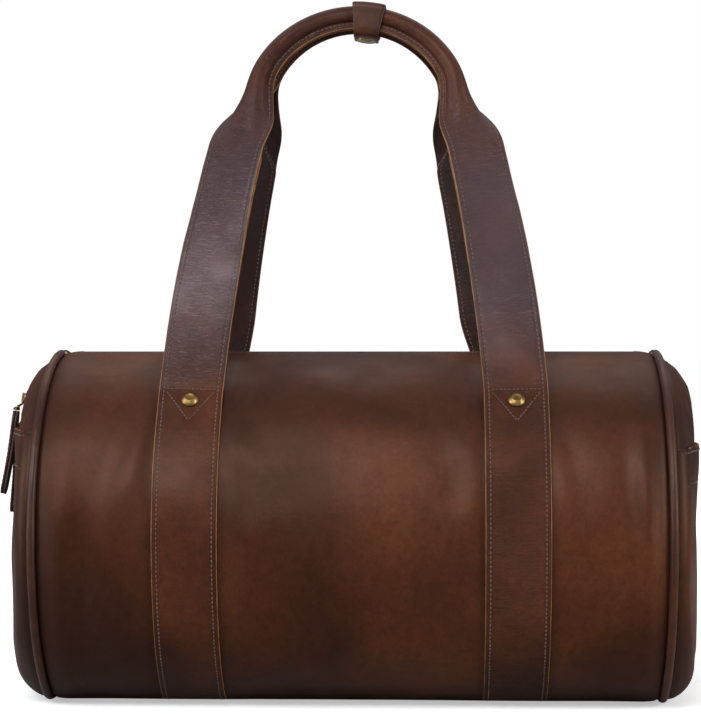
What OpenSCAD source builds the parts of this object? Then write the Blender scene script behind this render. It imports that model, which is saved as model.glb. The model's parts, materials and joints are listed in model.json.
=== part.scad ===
// Leather barrel bag: zipped round body, two rolled handles on girth straps, snap keeper.
// Units are millimetres. The floor is z = 0, the barrel runs along X and its front faces -Y.

/* [Barrel] */
// Diameter of the leather barrel
barrel_d = 252; // [240:1:264]
// Distance between the two end seams
seam_span = 430; // [400:5:460]
// How far each end panel stands out past its seam
end_bulge = 25.5; // [23:0.5:28]
// Radius of the turn from the barrel into each end
corner_r = 40; // [37:1:43]
// How far the base is pressed flat by the floor
base_flat = 5; // [4:0.5:7]

/* [Leather] */
// Thickness of the body leather
leather_t = 2; // [1.6:0.1:2.4]
// Thickness of the cloth lining
lining_t = 0.8; // [0.6:0.1:1]
// Free space left between sewn layers
sewn_gap = 0.1; // [0.1:0.05:0.2]
// Radius of the piping roll on each end seam
piping_r = 2.8; // [2.4:0.1:3]
// Radius of the cord inside the piping
cord_r = 1.5; // [1.2:0.1:1.6]

/* [End pockets] */
// Height of the left pocket's rim above the floor
left_rim_z = 192; // [180:1:194]
// Height of the right pocket's rim above the floor
right_rim_z = 181; // [175:1:194]
// How far a pocket stands clear of its end panel
pocket_gap = 4.3; // [4:0.1:5]
// Depth of the facing sewn inside a pocket rim
facing_h = 25; // [18:1:32]
// Thickness of the pocket facing
facing_t = 1; // [0.8:0.1:1.2]

/* [Base board] */
// Length of the stiffening board in the base
board_l = 372; // [340:2:380]
// Width of the stiffening board
board_w = 62; // [54:1:64]
// Thickness of the stiffening board
board_t = 2; // [1.6:0.1:2.4]

/* [Zip] */
// Width of the leather slot that shows the zip
slot_w = 14; // [13.6:0.1:15]
// Half width of the zip tape
tape_half = 16; // [14:0.5:18]
// Thickness of the zip tape
tape_t = 0.6; // [0.5:0.05:0.7]
// Distance from tooth to tooth along one row
tooth_pitch = 4; // [3.6:0.1:4.4]
// Length of one tooth along the zip
tooth_l = 2.2; // [1.6:0.1:2.6]
// Height where both ends of the zip stop
zip_end_z = 170; // [166:1:172]

/* [Sliders and pulls] */
// Length of a slider
slider_l = 11; // [10:0.5:11]
// Height of the lower slider's middle
lower_slider_z = 198.6; // [198.4:0.1:199]
// Length of a folded leather pull
pull_l = 62; // [50:1:66]
// Width of a folded leather pull
pull_w = 9.5; // [8:0.5:9.5]
// Thickness of a folded leather pull
pull_t = 4.4; // [3.6:0.1:4.4]

/* [Straps and handles] */
// Width of the straps
strap_w = 44; // [38:1:46]
// Thickness of one strap layer
strap_t = 2; // [1.8:0.1:2.2]
// Angle up the barrel, from its front, where the handles are sewn on
attach_angle = 50.5; // [48:0.5:53]
// Height of a handle leg along its own slope
leg_h = 224; // [200:2:240]
// Radius of the grip's arch, at the middle of its roll
arch_r = 76; // [74:1:80]
// Splay of the legs where they meet the arch
splay_top = 15; // [14:0.5:16]
// Splay of the legs where they meet the barrel
splay_base = 4.4; // [3.5:0.1:6]
// Radius of the rolled grip, to the middle of its leather
grip_r = 5.5; // [5.4:0.1:5.8]
// Radius of the rope core inside the grip
core_r = 4; // [3.4:0.1:4]
// Distance of each grip's middle from the centre plane
grip_y = 7.9; // [7.8:0.1:8.4]

/* [Keeper] */
// Width of the keeper along the grips
keeper_w = 22; // [18:1:26]
// Thickness of the keeper leather
keeper_t = 2; // [1.6:0.1:2]
// Turn of the keeper round the arch, away from the middle
keeper_turn = 6; // [0:0.5:8]
// Radius of the snap cap
snap_cap_r = 8; // [6.5:0.5:8]

/* [Rivets] */
// Radius of a rivet cap
rivet_cap_r = 5.5; // [4.5:0.1:5.6]
// Radius of a rivet post
rivet_post_r = 2; // [1.6:0.1:2.4]
// Distance from a handle's fold line down to its rivet
rivet_drop = 10; // [10:0.5:14]

/* [Hidden] */
$fn = 96;
big = 600;
barrel_r = barrel_d / 2;
axis_z = barrel_r - base_flat;
seam_x = seam_span / 2;
face_x = seam_x + end_bulge;
corner_x = face_x - corner_r;
corner_rad = barrel_r - corner_r;
corner_z = axis_z + corner_rad;
top_z = axis_z + barrel_r;

// handle geometry, worked out in the plane that each handle leans in
leg_r = leg_h / (sin(splay_top) - sin(splay_base));
strap_x = arch_r * cos(splay_top) + leg_r * (cos(splay_base) - cos(splay_top));
leg_l = leg_r * (splay_top - splay_base) * PI / 180;
arch_l = arch_r * (90 - splay_top) * PI / 180;
half_l = leg_l + arch_l;
arch_w = leg_h - arch_r * sin(splay_top);
fold_r = barrel_r + 2 * sewn_gap + strap_t;
fold_y = fold_r * cos(attach_angle);
fold_z = axis_z + fold_r * sin(attach_angle);
lean = asin((fold_y - grip_y) / (arch_w + arch_r));
grip_z = fold_z + (arch_w + arch_r) * cos(lean);
fold_clear_r = strap_t + 0.9;
fold_start = 2;

// how the strap turns and rolls up on its way from the fold line to the grip
twist_leg = 22;
twist_leg_from = 40;
twist_leg_to = 170;
roll_from = leg_l - 50;
roll_to = leg_l + 12;
backing_l = roll_from - 2;
roll_turn = 169;
flange_turn = 90;
roll_half_l = grip_r * roll_turn * PI / 180;
roll_steps = 12;
stations = 68;
station_step = (2 * half_l - 2 * fold_start) / stations;
backing_stations = floor((backing_l - fold_start) / station_step);
core_from = splay_top + 12;

// seams
seam_rad = corner_rad + sqrt(pow(corner_r, 2) - pow(seam_x - corner_x, 2));
piping_rad = seam_rad + 1.6;
run_press = 0.93;
run_z = piping_r * 1.07;
run_y = sqrt(pow(piping_rad, 2) - pow(axis_z - run_z, 2));
flange_t = 1.2;
flange_depth = 8;
flange_root = 0.7;
lip_t = leather_t + 2.2;
lip_root = 0.9;
lip_floor = run_z + piping_r + sewn_gap;
edge_x = seam_x - piping_r - sewn_gap;
panel_x = seam_x + piping_r + sewn_gap;
lip_top = piping_rad - piping_r - sewn_gap;
lip_low = lip_top - flange_depth;
strap_side_gap = 0.3;

// zip levels, counted outwards from the leather's outer face
tape_out = -(leather_t + sewn_gap);
tooth_in = -3;
tooth_out = 0.4;
tooth_gap = 0.35;
tooth_w = 3.05;
tape_in_y = tooth_gap + tooth_w + sewn_gap;
tape_low = zip_end_z - 4;
plate_t = 1.2;
plate_gap = 0.3;
wing_y = 4.6;
wing_w = 1;
wing_slot_low = -3.05;
wing_slot_high = -1.7;
post_half = 0.25;
bridge_half = 1.1;
bridge_bore = 2;
bridge_t = 1.6;
bridge_l = 6.4;
bridge_wall = 1.2;
pin_r = 0.75;
plate_out = tooth_out + plate_gap + plate_t;
pin_out = plate_out + bridge_bore / 2;
stop_l = 3;

// pocket
pocket_x = face_x + pocket_gap + leather_t;
pocket_rad = barrel_r + 1;
pocket_corner = corner_r + pocket_gap - 0.1;

// upper slider, on the left corner arc
upper_angle = 8;
upper_half = slider_l / 2 / corner_r * 180 / PI;
lower_pin = [-(face_x + pin_out), 0, lower_slider_z];
upper_pin = [
    -(corner_x + (corner_r + pin_out) * cos(upper_angle)),
    0,
    corner_z + (corner_r + pin_out) * sin(upper_angle)
];
link_arm_y = 1.95;
link_r = 0.7;
arm_r = 0.6;
link_bar_half = 3.4;
link_knees = [0.54, 0.68];
upper_bar = [-(face_x + 7.5), -7.6, corner_z - 2.1];
lower_bar = [-(face_x + 9), 2.7, lower_slider_z - 7.4];
upper_hang = 9;
lower_hang = 3;
loop_bore = link_r + 0.2;
shoulder_drop = 2.6;

// keeper levels, counted from the grips' middle
keeper_axis_r = arch_r + 1.5;
keeper_axis_z = grip_z - keeper_axis_r;
keeper_half = keeper_w / 2 / keeper_axis_r * 180 / PI;
keeper_top = grip_r + strap_t / 2 + 0.6;
keeper_wall = grip_y + grip_r + strap_t / 2 + 0.7;
keeper_low = -12.2;
lip_gap = 0.2;
lip_high = keeper_low - keeper_t - lip_gap;
lip_end = 10;
wrap_end = -4;
snap_y = 2.4;
stud_r = 2;
stud_drop = 0.6;
stud_base_r = 4;
socket_in = 3.7;
socket_out = 5;
cap_t = 1.7;

// rivets
rivet_angle = attach_angle - rivet_drop / fold_r * 180 / PI;
cap_base = barrel_r + 2 * sewn_gap + strap_t;
rivet_cap_t = 1.6;
back_r = 4.5;
back_t = 1;
inner_r = barrel_r - leather_t - lining_t - 2 * sewn_gap;

ends = [-1, 1];

// ---------- shared shapes ----------

// turns a profile drawn as (radius, x) round the barrel's axis
module revolve_x() {
    translate([0, 0, axis_z]) rotate([0, 90, 0]) rotate_extrude() children();
}

// the barrel's half outline, drawn t inside its outer face
module barrel_outline(t) {
    square([barrel_r - t, corner_x]);
    square([corner_rad, face_x - t]);
    translate([corner_rad, corner_x]) intersection() {
        circle(corner_r - t);
        square([corner_r, corner_r]);
    }
}

module barrel_solid(t) {
    revolve_x() union() {
        barrel_outline(t);
        mirror([0, 1]) barrel_outline(t);
    }
}

// everything below the base, with the seats that the girth straps press into it
module below_base(t) {
    translate([-big / 2, -big / 2, -big]) cube([big, big, big + t]);
    for (s = ends) {
        seat = strap_w / 2 + strap_side_gap + t;
        translate([s * strap_x - seat, -big / 2, -big])
            cube([2 * seat, big, big + t + strap_t + sewn_gap]);
    }
}

module bag_solid(t) {
    difference() {
        barrel_solid(t);
        below_base(t);
    }
}

module x_slab(x0, x1) {
    translate([x0, -big / 2, -big / 2]) cube([x1 - x0, big, big]);
}

module zip_clear(half, low = zip_end_z) {
    translate([-big / 2, -half, low]) cube([big, 2 * half, big]);
}

// holes for the four rivets
module rivet_holes() {
    at_rivets() translate([0, 0, inner_r - 5]) cylinder(r = rivet_post_r + sewn_gap / 2, h = 20);
}

module at_rivets() {
    for (s = ends, side = ends)
        translate([s * strap_x, 0, axis_z])
            rotate([-side * (90 - rivet_angle), 0, 0]) children();
}

// the leather turned in beside a seam, with its inner side at x0 and its root rising to its sheet
module turned_lip(x0, root) {
    difference() {
        revolve_x() translate([lip_low, x0]) {
            square([flange_depth, lip_t]);
            square([flange_depth + root, leather_t]);
        }
        below(lip_floor);
        zip_clear(tape_half + 0.5);
    }
}

// ---------- body ----------

module body_wrap() {
    color("saddlebrown") {
        difference() {
            bag_solid(0);
            bag_solid(leather_t);
            x_slab(-big, -edge_x);
            x_slab(edge_x, big);
            zip_clear(slot_w / 2);
            rivet_holes();
        }
        for (s = [0, 1]) mirror([s, 0, 0]) turned_lip(edge_x - leather_t, lip_root);
    }
}

module body_lining() {
    lining_x = edge_x - leather_t - sewn_gap;
    color("tan") difference() {
        bag_solid(leather_t + sewn_gap);
        bag_solid(leather_t + sewn_gap + lining_t);
        x_slab(-big, -lining_x);
        x_slab(lining_x, big);
        zip_clear(tape_half + 0.6);
        rivet_holes();
    }
}

module base_board() {
    board_z = leather_t + lining_t + strap_t + 4 * sewn_gap;
    color("dimgray") translate([-board_l / 2, -board_w / 2, board_z])
        cube([board_l, board_w, board_t]);
}

module end_panel() {
    color("sienna") {
        difference() {
            bag_solid(0);
            bag_solid(leather_t);
            x_slab(-big, panel_x);
            zip_clear(slot_w / 2);
        }
        intersection() {
            turned_lip(panel_x - lip_t + leather_t, 0);
            barrel_solid(0);
        }
    }
}

module left_end_panel() {
    mirror([1, 0, 0]) end_panel();
}

module right_end_panel() {
    end_panel();
}

module end_lining() {
    color("tan") difference() {
        bag_solid(leather_t + sewn_gap);
        bag_solid(leather_t + sewn_gap + lining_t);
        x_slab(-big, panel_x + leather_t + sewn_gap);
        zip_clear(tape_half + 0.6, tape_low - sewn_gap);
    }
}

module left_end_lining() {
    mirror([1, 0, 0]) end_lining();
}

module right_end_lining() {
    end_lining();
}

// a round cord that follows an end seam and lies straight along the base
module seam_cord(r) {
    difference() {
        revolve_x() translate([piping_rad, seam_x]) circle(r);
        translate([0, -run_y, -big]) cube([big, 2 * run_y, big + axis_z]);
        zip_clear(slot_w / 2 + 1);
    }
    translate([seam_x, run_y, run_z]) rotate([90, 0, 0]) cylinder(r = r * run_press, h = 2 * run_y);
}

module piping() {
    color("maroon") difference() {
        union() {
            seam_cord(piping_r);
            difference() {
                revolve_x() translate([lip_low, seam_x - flange_t / 2])
                    square([flange_depth + flange_root, flange_t]);
                below(lip_floor - sewn_gap);
                zip_clear(tape_half + 0.5);
            }
        }
        seam_cord(cord_r + sewn_gap);
    }
}

module left_piping() {
    mirror([1, 0, 0]) piping();
}

module right_piping() {
    piping();
}

module left_piping_cord() {
    color("wheat") mirror([1, 0, 0]) seam_cord(cord_r);
}

module right_piping_cord() {
    color("wheat") seam_cord(cord_r);
}

// ---------- end pockets ----------

module pocket_solid(t, low) {
    difference() {
        revolve_x() union() {
            square([pocket_rad - t, pocket_x - pocket_corner]);
            square([pocket_rad - pocket_corner, pocket_x - t]);
            translate([pocket_rad - pocket_corner, pocket_x - pocket_corner]) intersection() {
                circle(pocket_corner - t);
                square([pocket_corner, pocket_corner]);
            }
        }
        translate([-big / 2, -big / 2, -big]) cube([big, big, big + low]);
        x_slab(-big, panel_x);
    }
}

module above(z) {
    translate([-big / 2, -big / 2, z]) cube([big, big, big]);
}

module below(z) {
    translate([-big / 2, -big / 2, z - big]) cube([big, big, big]);
}

module panel_core() {
    difference() {
        barrel_solid(-sewn_gap);
        below(0);
    }
}

module pocket(rim_z) {
    color("sienna") difference() {
        pocket_solid(0, 0);
        pocket_solid(leather_t, leather_t);
        panel_core();
        above(rim_z);
    }
}

module pocket_facing(rim_z) {
    color("peru") difference() {
        pocket_solid(leather_t + sewn_gap, leather_t);
        pocket_solid(leather_t + sewn_gap + facing_t, leather_t);
        panel_core();
        above(rim_z - 0.4);
        below(rim_z - facing_h);
    }
}

module left_pocket() {
    mirror([1, 0, 0]) pocket(left_rim_z);
}

module right_pocket() {
    pocket(right_rim_z);
}

module left_pocket_facing() {
    mirror([1, 0, 0]) pocket_facing(left_rim_z);
}

module right_pocket_facing() {
    pocket_facing(right_rim_z);
}

// ---------- zip ----------

module zip_tape(side) {
    y0 = side < 0 ? -tape_half : tape_in_y;
    color("black") intersection() {
        difference() {
            bag_solid(-tape_out);
            bag_solid(-tape_out + tape_t);
        }
        translate([-big / 2, y0, tape_low]) cube([big, tape_half - tape_in_y, big]);
    }
}

module zip_tape_front() {
    zip_tape(-1);
}

module zip_tape_rear() {
    zip_tape(1);
}

// places children on the zip, s along it from the bag's middle, with local z pointing outwards
module at_zip(s) {
    d = abs(s);
    turn = min(max((d - corner_x) / corner_r * 180 / PI, 0), 90);
    past = max(d - corner_x - corner_r * PI / 2, 0);
    mirror([s < 0 ? 1 : 0, 0, 0])
        translate([min(d, corner_x), 0, corner_z]) rotate([0, turn, 0])
            translate([past, 0, corner_r]) children();
}

module zip_teeth(side) {
    run = corner_x + corner_r * PI / 2 + corner_z - zip_end_z - stop_l;
    count = floor(run / tooth_pitch) - 1;
    color("dimgray") for (i = [-count:count]) {
        at_zip(i * tooth_pitch + side * tooth_pitch / 4)
            translate([-tooth_l / 2, side < 0 ? -tooth_gap - tooth_w : tooth_gap, tooth_in])
                cube([tooth_l, tooth_w, tooth_out - tooth_in]);
    }
}

module zip_teeth_front() {
    zip_teeth(-1);
}

module zip_teeth_rear() {
    zip_teeth(1);
}

module zip_end_stops() {
    half_w = tooth_gap + tooth_w;
    color("goldenrod") for (s = ends)
        translate([s > 0 ? face_x + tooth_in : -face_x - tooth_out, -half_w, zip_end_z])
            cube([tooth_out - tooth_in, 2 * half_w, stop_l]);
}

// ---------- straps ----------

module girth_strap(s) {
    reach = 2 * barrel_r;
    color("chocolate") difference() {
        translate([s * strap_x - strap_w / 2, 0, axis_z]) rotate([90, 0, 90])
            linear_extrude(strap_w) difference() {
                circle(barrel_r + sewn_gap + strap_t);
                difference() {
                    circle(barrel_r + sewn_gap);
                    translate([-big / 2, -big - axis_z + strap_t]) square([big, big]);
                }
                translate([-big / 2, -big - axis_z]) square([big, big]);
                polygon([
                    [0, 0],
                    [-reach * cos(attach_angle), reach * sin(attach_angle)],
                    [-reach * cos(attach_angle), 2 * reach],
                    [reach * cos(attach_angle), 2 * reach],
                    [reach * cos(attach_angle), reach * sin(attach_angle)]
                ]);
                for (side = ends) translate([side * fold_y, fold_z - axis_z]) circle(fold_clear_r);
            }
        rivet_holes();
    }
}

module girth_strap_left() {
    girth_strap(-1);
}

module girth_strap_right() {
    girth_strap(1);
}

module strap_rivet_caps() {
    color("goldenrod") at_rivets() translate([0, 0, cap_base])
        cylinder(r1 = rivet_cap_r, r2 = rivet_cap_r - 1.4, h = rivet_cap_t);
}

module strap_rivet_posts() {
    color("goldenrod") at_rivets() translate([0, 0, inner_r - sewn_gap])
        cylinder(r = rivet_post_r, h = cap_base - inner_r);
}

module strap_rivet_backs() {
    color("goldenrod") at_rivets() translate([0, 0, inner_r - 2 * sewn_gap - back_t])
        cylinder(r = back_r, h = back_t);
}

// ---------- handles ----------

function smooth(a, b, v) =
    let (f = min(max((v - a) / (b - a), 0), 1)) f * f * (3 - 2 * f);

// the leg's slope d along the strap from the left fold line
function leg_angle(d) = splay_base + (splay_top - splay_base) * d / leg_l;

// point on the left half of a handle's centre line: x, then distance up the leaning plane
function half_point(d) =
    d < leg_l
        ? let (a = leg_angle(d))
            [
                -strap_x + leg_r * (cos(splay_base) - cos(a)),
                leg_r * (sin(a) - sin(splay_base))
            ]
        : let (a = splay_top + (d - leg_l) / arch_r * 180 / PI)
            [-arch_r * cos(a), arch_w + arch_r * sin(a)];

function half_angle(d) =
    d < leg_l ? leg_angle(d) : splay_top + (d - leg_l) / arch_r * 180 / PI;

function line_point(d) =
    d <= half_l ? half_point(d) : let (p = half_point(2 * half_l - d)) [-p[0], p[1]];

function line_angle(d) = d <= half_l ? half_angle(d) : 180 - half_angle(2 * half_l - d);

function from_end(d) = min(d, 2 * half_l - d);

function roll_at(d) = smooth(roll_from, roll_to, from_end(d));

function twist_at(d) =
    let (e = from_end(d))
        twist_leg * smooth(twist_leg_from, twist_leg_to, e)
        + (90 - twist_leg) * smooth(roll_from, roll_to, e);

// a point of the strap's cross-section: [along the width, along its own outward side]
function curl(t, roll) =
    let (
        k = roll * roll_turn / roll_half_l,
        a = min(abs(t), roll_half_l),
        rest = abs(t) - a,
        turn = k * a,
        flange = roll * flange_turn,
        w = turn < 0.01 ? a : a * sin(turn) / (turn * PI / 180),
        n = turn < 0.01 ? 0 : -a * (1 - cos(turn)) / (turn * PI / 180)
    )
        [
            sign(t) * (w + rest * cos(flange)),
            n - rest * sin(flange)
        ];

// outward direction of the cross-section at t
function curl_out(t, roll) =
    let (
        inside = abs(t) < roll_half_l - 0.01,
        edge = abs(t) <= roll_half_l + 0.01,
        turn = roll * roll_turn * min(abs(t), roll_half_l) / roll_half_l,
        flange = roll * flange_turn,
        a = inside ? turn : edge ? (turn + flange) / 2 : flange
    )
        [sign(t) * sin(a), cos(a)];

function curl_stretch(t, roll) =
    abs(abs(t) - roll_half_l) < 0.01 ? 1 / cos(roll * (roll_turn - flange_turn) / 2) : 1;

// places a cross-section point [w, n] at distance d along the handle
function placed(d, w, n) =
    let (
        p = line_point(d),
        a = line_angle(d),
        inward = [cos(a), -sin(a)],
        tw = twist_at(d),
        in = w * cos(tw) - n * sin(tw),
        out = w * sin(tw) + n * cos(tw)
    )
        [p[0] + in * inward[0], -out, p[1] + in * inward[1]];

// widths where the cross-section is sampled
function samples() =
    let (edge = strap_w / 2, mid = (edge + roll_half_l) / 2)
        concat(
            [-edge, -mid],
            [for (i = [0:roll_steps]) roll_half_l * (2 * i / roll_steps - 1)],
            [mid, edge]
        );

// centre of the roll stays on the handle's line once the strap is rolled up
function mid_out(d) = let (r = roll_at(d)) (1 - r) * (strap_t / 2 + sewn_gap / 2) + r * grip_r;

function ring(d) =
    let (s = samples(), r = roll_at(d), m = mid_out(d), half = strap_t / 2, last = len(s) - 1)
        [
            for (i = [0:2 * last + 1])
                let (
                    outer = i <= last,
                    t = outer ? s[i] : s[2 * last + 1 - i],
                    c = curl(t, r),
                    o = curl_out(t, r),
                    h = (outer ? half : -half) * curl_stretch(t, r)
                )
                    placed(d, c[0] + h * o[0], m + c[1] + h * o[1])
        ];

function flat_ring(d) =
    let (s = samples(), top = -sewn_gap / 2, last = len(s) - 1)
        [
            for (i = [0:2 * last + 1])
                i <= last
                    ? placed(d, s[i], top)
                    : placed(d, s[2 * last + 1 - i], top - strap_t)
        ];

// distance of a station along the handle
function station(i) = fold_start + i * station_step;

// joins rings of equal length into one closed solid
module skin(rings, caps) {
    n = len(rings[0]);
    m = len(rings);
    points = [for (r = rings, p = r) p];
    sides = [
        for (j = [0:m - 2], i = [0:n - 1])
            let (a = j * n + i, b = j * n + (i + 1) % n, c = a + n, e = b + n)
                each [[a, b, e], [a, e, c]]
    ];
    first = [for (q = caps) [q[2], q[1], q[0]]];
    last = [for (q = caps) [for (v = q) v + (m - 1) * n]];
    polyhedron(points = points, faces = concat(sides, first, last));
}

function strip_caps(n) = [
    for (i = [0:n / 2 - 2]) each [[i, i + 1, n - 2 - i], [i, n - 2 - i, n - 1 - i]]
];

module handle_leather() {
    rings = [for (i = [0:stations]) ring(station(i))];
    skin(rings, strip_caps(len(rings[0])));
}

module handle_backing() {
    rings = [for (i = [0:backing_stations]) flat_ring(station(i))];
    for (s = [0, 1]) mirror([s, 0, 0]) skin(rings, strip_caps(len(rings[0])));
}

module handle_core() {
    translate([0, 0, arch_w]) rotate([90, 0, 0])
        rotate_extrude(angle = 180 - 2 * core_from, start = core_from)
            translate([arch_r, 0]) circle(core_r);
}

// stands a handle on its fold line, leaning in over the bag
module stand_handle() {
    translate([0, -fold_y, fold_z]) rotate([-lean, 0, 0]) children();
}

module front_handle_leather() {
    color("chocolate") stand_handle() handle_leather();
}

module front_handle_backing() {
    color("peru") stand_handle() handle_backing();
}

module front_handle_core() {
    color("wheat") stand_handle() handle_core();
}

module rear_handle_leather() {
    color("chocolate") mirror([0, 1, 0]) stand_handle() handle_leather();
}

module rear_handle_backing() {
    color("peru") mirror([0, 1, 0]) stand_handle() handle_backing();
}

module rear_handle_core() {
    color("wheat") mirror([0, 1, 0]) stand_handle() handle_core();
}

// ---------- keeper ----------

// bends a profile drawn as (up from the grips' middle, y) round the handles' arch
module keeper_bend() {
    translate([0, 0, keeper_axis_z]) rotate([90, 0, 0])
        rotate_extrude(angle = 2 * keeper_half, start = 90 - keeper_turn - keeper_half)
            translate([keeper_axis_r, 0]) mirror([0, 1]) children();
}

// stands children on the keeper's underside, over the snap
module at_snap(up) {
    translate([0, snap_y, keeper_axis_z]) rotate([0, keeper_turn, 0])
        translate([0, 0, keeper_axis_r + up]) children();
}

module keeper_wrap() {
    color("chocolate") difference() {
        keeper_bend() {
            translate([keeper_top, -grip_y])
                square([keeper_t, grip_y + keeper_wall + keeper_t]);
            translate([keeper_low - keeper_t, keeper_wall])
                square([keeper_top - keeper_low + 2 * keeper_t, keeper_t]);
            translate([keeper_low - keeper_t, wrap_end])
                square([keeper_t, keeper_wall + keeper_t - wrap_end]);
        }
        at_snap(keeper_low - 10) cylinder(r = stud_r + sewn_gap, h = 20);
    }
}

module snap_stud() {
    color("goldenrod") {
        at_snap(keeper_low - keeper_t - stud_drop)
            cylinder(r = stud_r, h = keeper_t + stud_drop + 0.5);
        at_snap(keeper_low + 0.3) cylinder(r = stud_base_r, h = 1);
    }
}

module keeper_flap() {
    color("sienna") difference() {
        keeper_bend() {
            translate([keeper_top, -keeper_wall - keeper_t])
                square([keeper_t, keeper_wall + keeper_t - grip_y - sewn_gap]);
            translate([lip_high - keeper_t, -keeper_wall - keeper_t])
                square([keeper_top - lip_high + 2 * keeper_t, keeper_t]);
            translate([lip_high - keeper_t, -keeper_wall - keeper_t])
                square([keeper_t, keeper_wall + keeper_t + lip_end]);
        }
        at_snap(lip_high - 10) cylinder(r = socket_out + sewn_gap, h = 20);
    }
}

module snap_socket() {
    color("goldenrod") difference() {
        at_snap(lip_high - keeper_t) cylinder(r = socket_out, h = keeper_t);
        at_snap(lip_high - 10) cylinder(r = socket_in, h = 20);
    }
}

module snap_cap() {
    color("gold") at_snap(lip_high - keeper_t - cap_t - 0.5)
        cylinder(r1 = snap_cap_r - 2, r2 = snap_cap_r, h = cap_t);
}

// ---------- sliders and pulls ----------

// a slider's cross-section as (outwards, y), without its bridge
module slider_section() {
    half = wing_y + wing_w;
    low = tooth_in - plate_gap;
    high = tooth_out + plate_gap;
    translate([low - plate_t, -half]) square([plate_t, 2 * half]);
    translate([high, -half]) square([plate_t, 2 * half]);
    for (s = [0, 1]) mirror([0, s]) {
        translate([low, wing_y]) square([wing_slot_low - low, wing_w]);
        translate([wing_slot_high, wing_y]) square([high - wing_slot_high, wing_w]);
    }
}

module post_section() {
    translate([tooth_in - plate_gap, -post_half])
        square([tooth_out - tooth_in + 2 * plate_gap, 2 * post_half]);
}

module bridge_section(high) {
    translate([plate_out, -bridge_half]) square([high, 2 * bridge_half]);
}

// bends a section round the left corner, from angle a0 to a1 above level
module on_corner(a0, a1) {
    mirror([1, 0, 0]) translate([corner_x, 0, corner_z]) rotate([90, 0, 0])
        rotate_extrude(angle = a1 - a0, start = a0) translate([corner_r, 0]) children();
}

// runs a section up the left face, from z0 to z1
module on_face(z0, z1) {
    mirror([1, 0, 0]) translate([face_x, 0, z0]) linear_extrude(z1 - z0) children();
}

module upper_slider() {
    half = bridge_l / 2 / corner_r * 180 / PI;
    wall = bridge_wall / corner_r * 180 / PI;
    color("goldenrod") {
        on_corner(upper_angle - upper_half, upper_angle + upper_half) slider_section();
        on_corner(upper_angle, upper_angle + upper_half) post_section();
        difference() {
            on_corner(upper_angle - half, upper_angle + half) bridge_section(bridge_bore + bridge_t);
            on_corner(upper_angle - half + wall, upper_angle + half - wall) bridge_section(bridge_bore);
        }
    }
}

module lower_slider() {
    half = slider_l / 2;
    color("goldenrod") {
        on_face(lower_slider_z - half, lower_slider_z + half) slider_section();
        on_face(lower_slider_z - half, lower_slider_z) post_section();
        difference() {
            on_face(lower_slider_z - bridge_l / 2, lower_slider_z + bridge_l / 2)
                bridge_section(bridge_bore + bridge_t);
            on_face(lower_slider_z - bridge_l / 2 + bridge_wall, lower_slider_z + bridge_l / 2 - bridge_wall)
                bridge_section(bridge_bore);
        }
    }
}

// a round bar from p to q
module bar(p, q, r) {
    v = q - p;
    l = norm(v);
    translate(p) rotate([0, acos(v[2] / l), atan2(v[1], v[0])]) cylinder(r = r, h = l);
}

// a bent wire through the given points
module wire(points, r) {
    for (i = [0:len(points) - 2]) bar(points[i], points[i + 1], r);
    for (i = [1:len(points) - 2]) translate(points[i]) sphere(1.08 * r);
}

// the wire link between a slider's bridge and its leather pull, stepped aside past the bridge
module puller(pin, low) {
    v = low - pin;
    color("gold") {
        bar(pin - [0, link_arm_y + link_r, 0], pin + [0, link_arm_y + link_r, 0], pin_r);
        bar(low - [0, link_bar_half + link_r, 0], low + [0, link_bar_half + link_r, 0], link_r);
        for (s = ends) {
            near = pin + [0, s * link_arm_y, 0];
            far = low + [0, s * link_bar_half, 0];
            knee = [pin[0] + link_knees[0] * v[0], near[1], pin[2] + link_knees[0] * v[2]];
            shin = [pin[0] + link_knees[1] * v[0], far[1], pin[2] + link_knees[1] * v[2]];
            wire([near, knee, shin, far], arm_r);
        }
    }
}

// a strip folded over the link's bar and hanging at an angle off plumb
module pull(low, hang) {
    tab_w = 2 * (link_bar_half - link_r - sewn_gap);
    color("saddlebrown") translate(low) rotate([0, hang, 0]) difference() {
        union() {
            translate([0, pull_w / 2, 0]) rotate([90, 0, 0]) cylinder(r = pull_t / 2, h = pull_w);
            translate([-pull_t / 2, -pull_w / 2, -pull_l]) cube([pull_t, pull_w, pull_l]);
        }
        translate([0, pull_w, 0]) rotate([90, 0, 0]) cylinder(r = loop_bore, h = 2 * pull_w);
        for (s = [0, 1]) mirror([0, s, 0])
            translate([-pull_t, tab_w / 2, -shoulder_drop]) cube([2 * pull_t, pull_w, 2 * pull_t]);
    }
}

module upper_puller() {
    puller(upper_pin, upper_bar);
}

module upper_pull() {
    pull(upper_bar, upper_hang);
}

module lower_puller() {
    puller(lower_pin, lower_bar);
}

module lower_pull() {
    pull(lower_bar, lower_hang);
}

// ---------- drawing ----------

body_wrap();
body_lining();
base_board();
left_end_panel();
right_end_panel();
left_end_lining();
right_end_lining();
left_piping();
right_piping();
left_piping_cord();
right_piping_cord();
left_pocket();
right_pocket();
left_pocket_facing();
right_pocket_facing();
zip_tape_front();
zip_tape_rear();
zip_teeth_front();
zip_teeth_rear();
zip_end_stops();
girth_strap_left();
girth_strap_right();
strap_rivet_caps();
strap_rivet_posts();
strap_rivet_backs();
front_handle_leather();
front_handle_backing();
front_handle_core();
rear_handle_leather();
rear_handle_backing();
rear_handle_core();
keeper_wrap();
snap_stud();
keeper_flap();
snap_cap();
snap_socket();
upper_slider();
upper_puller();
upper_pull();
lower_slider();
lower_puller();
lower_pull();
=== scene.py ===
import json
import math

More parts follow.
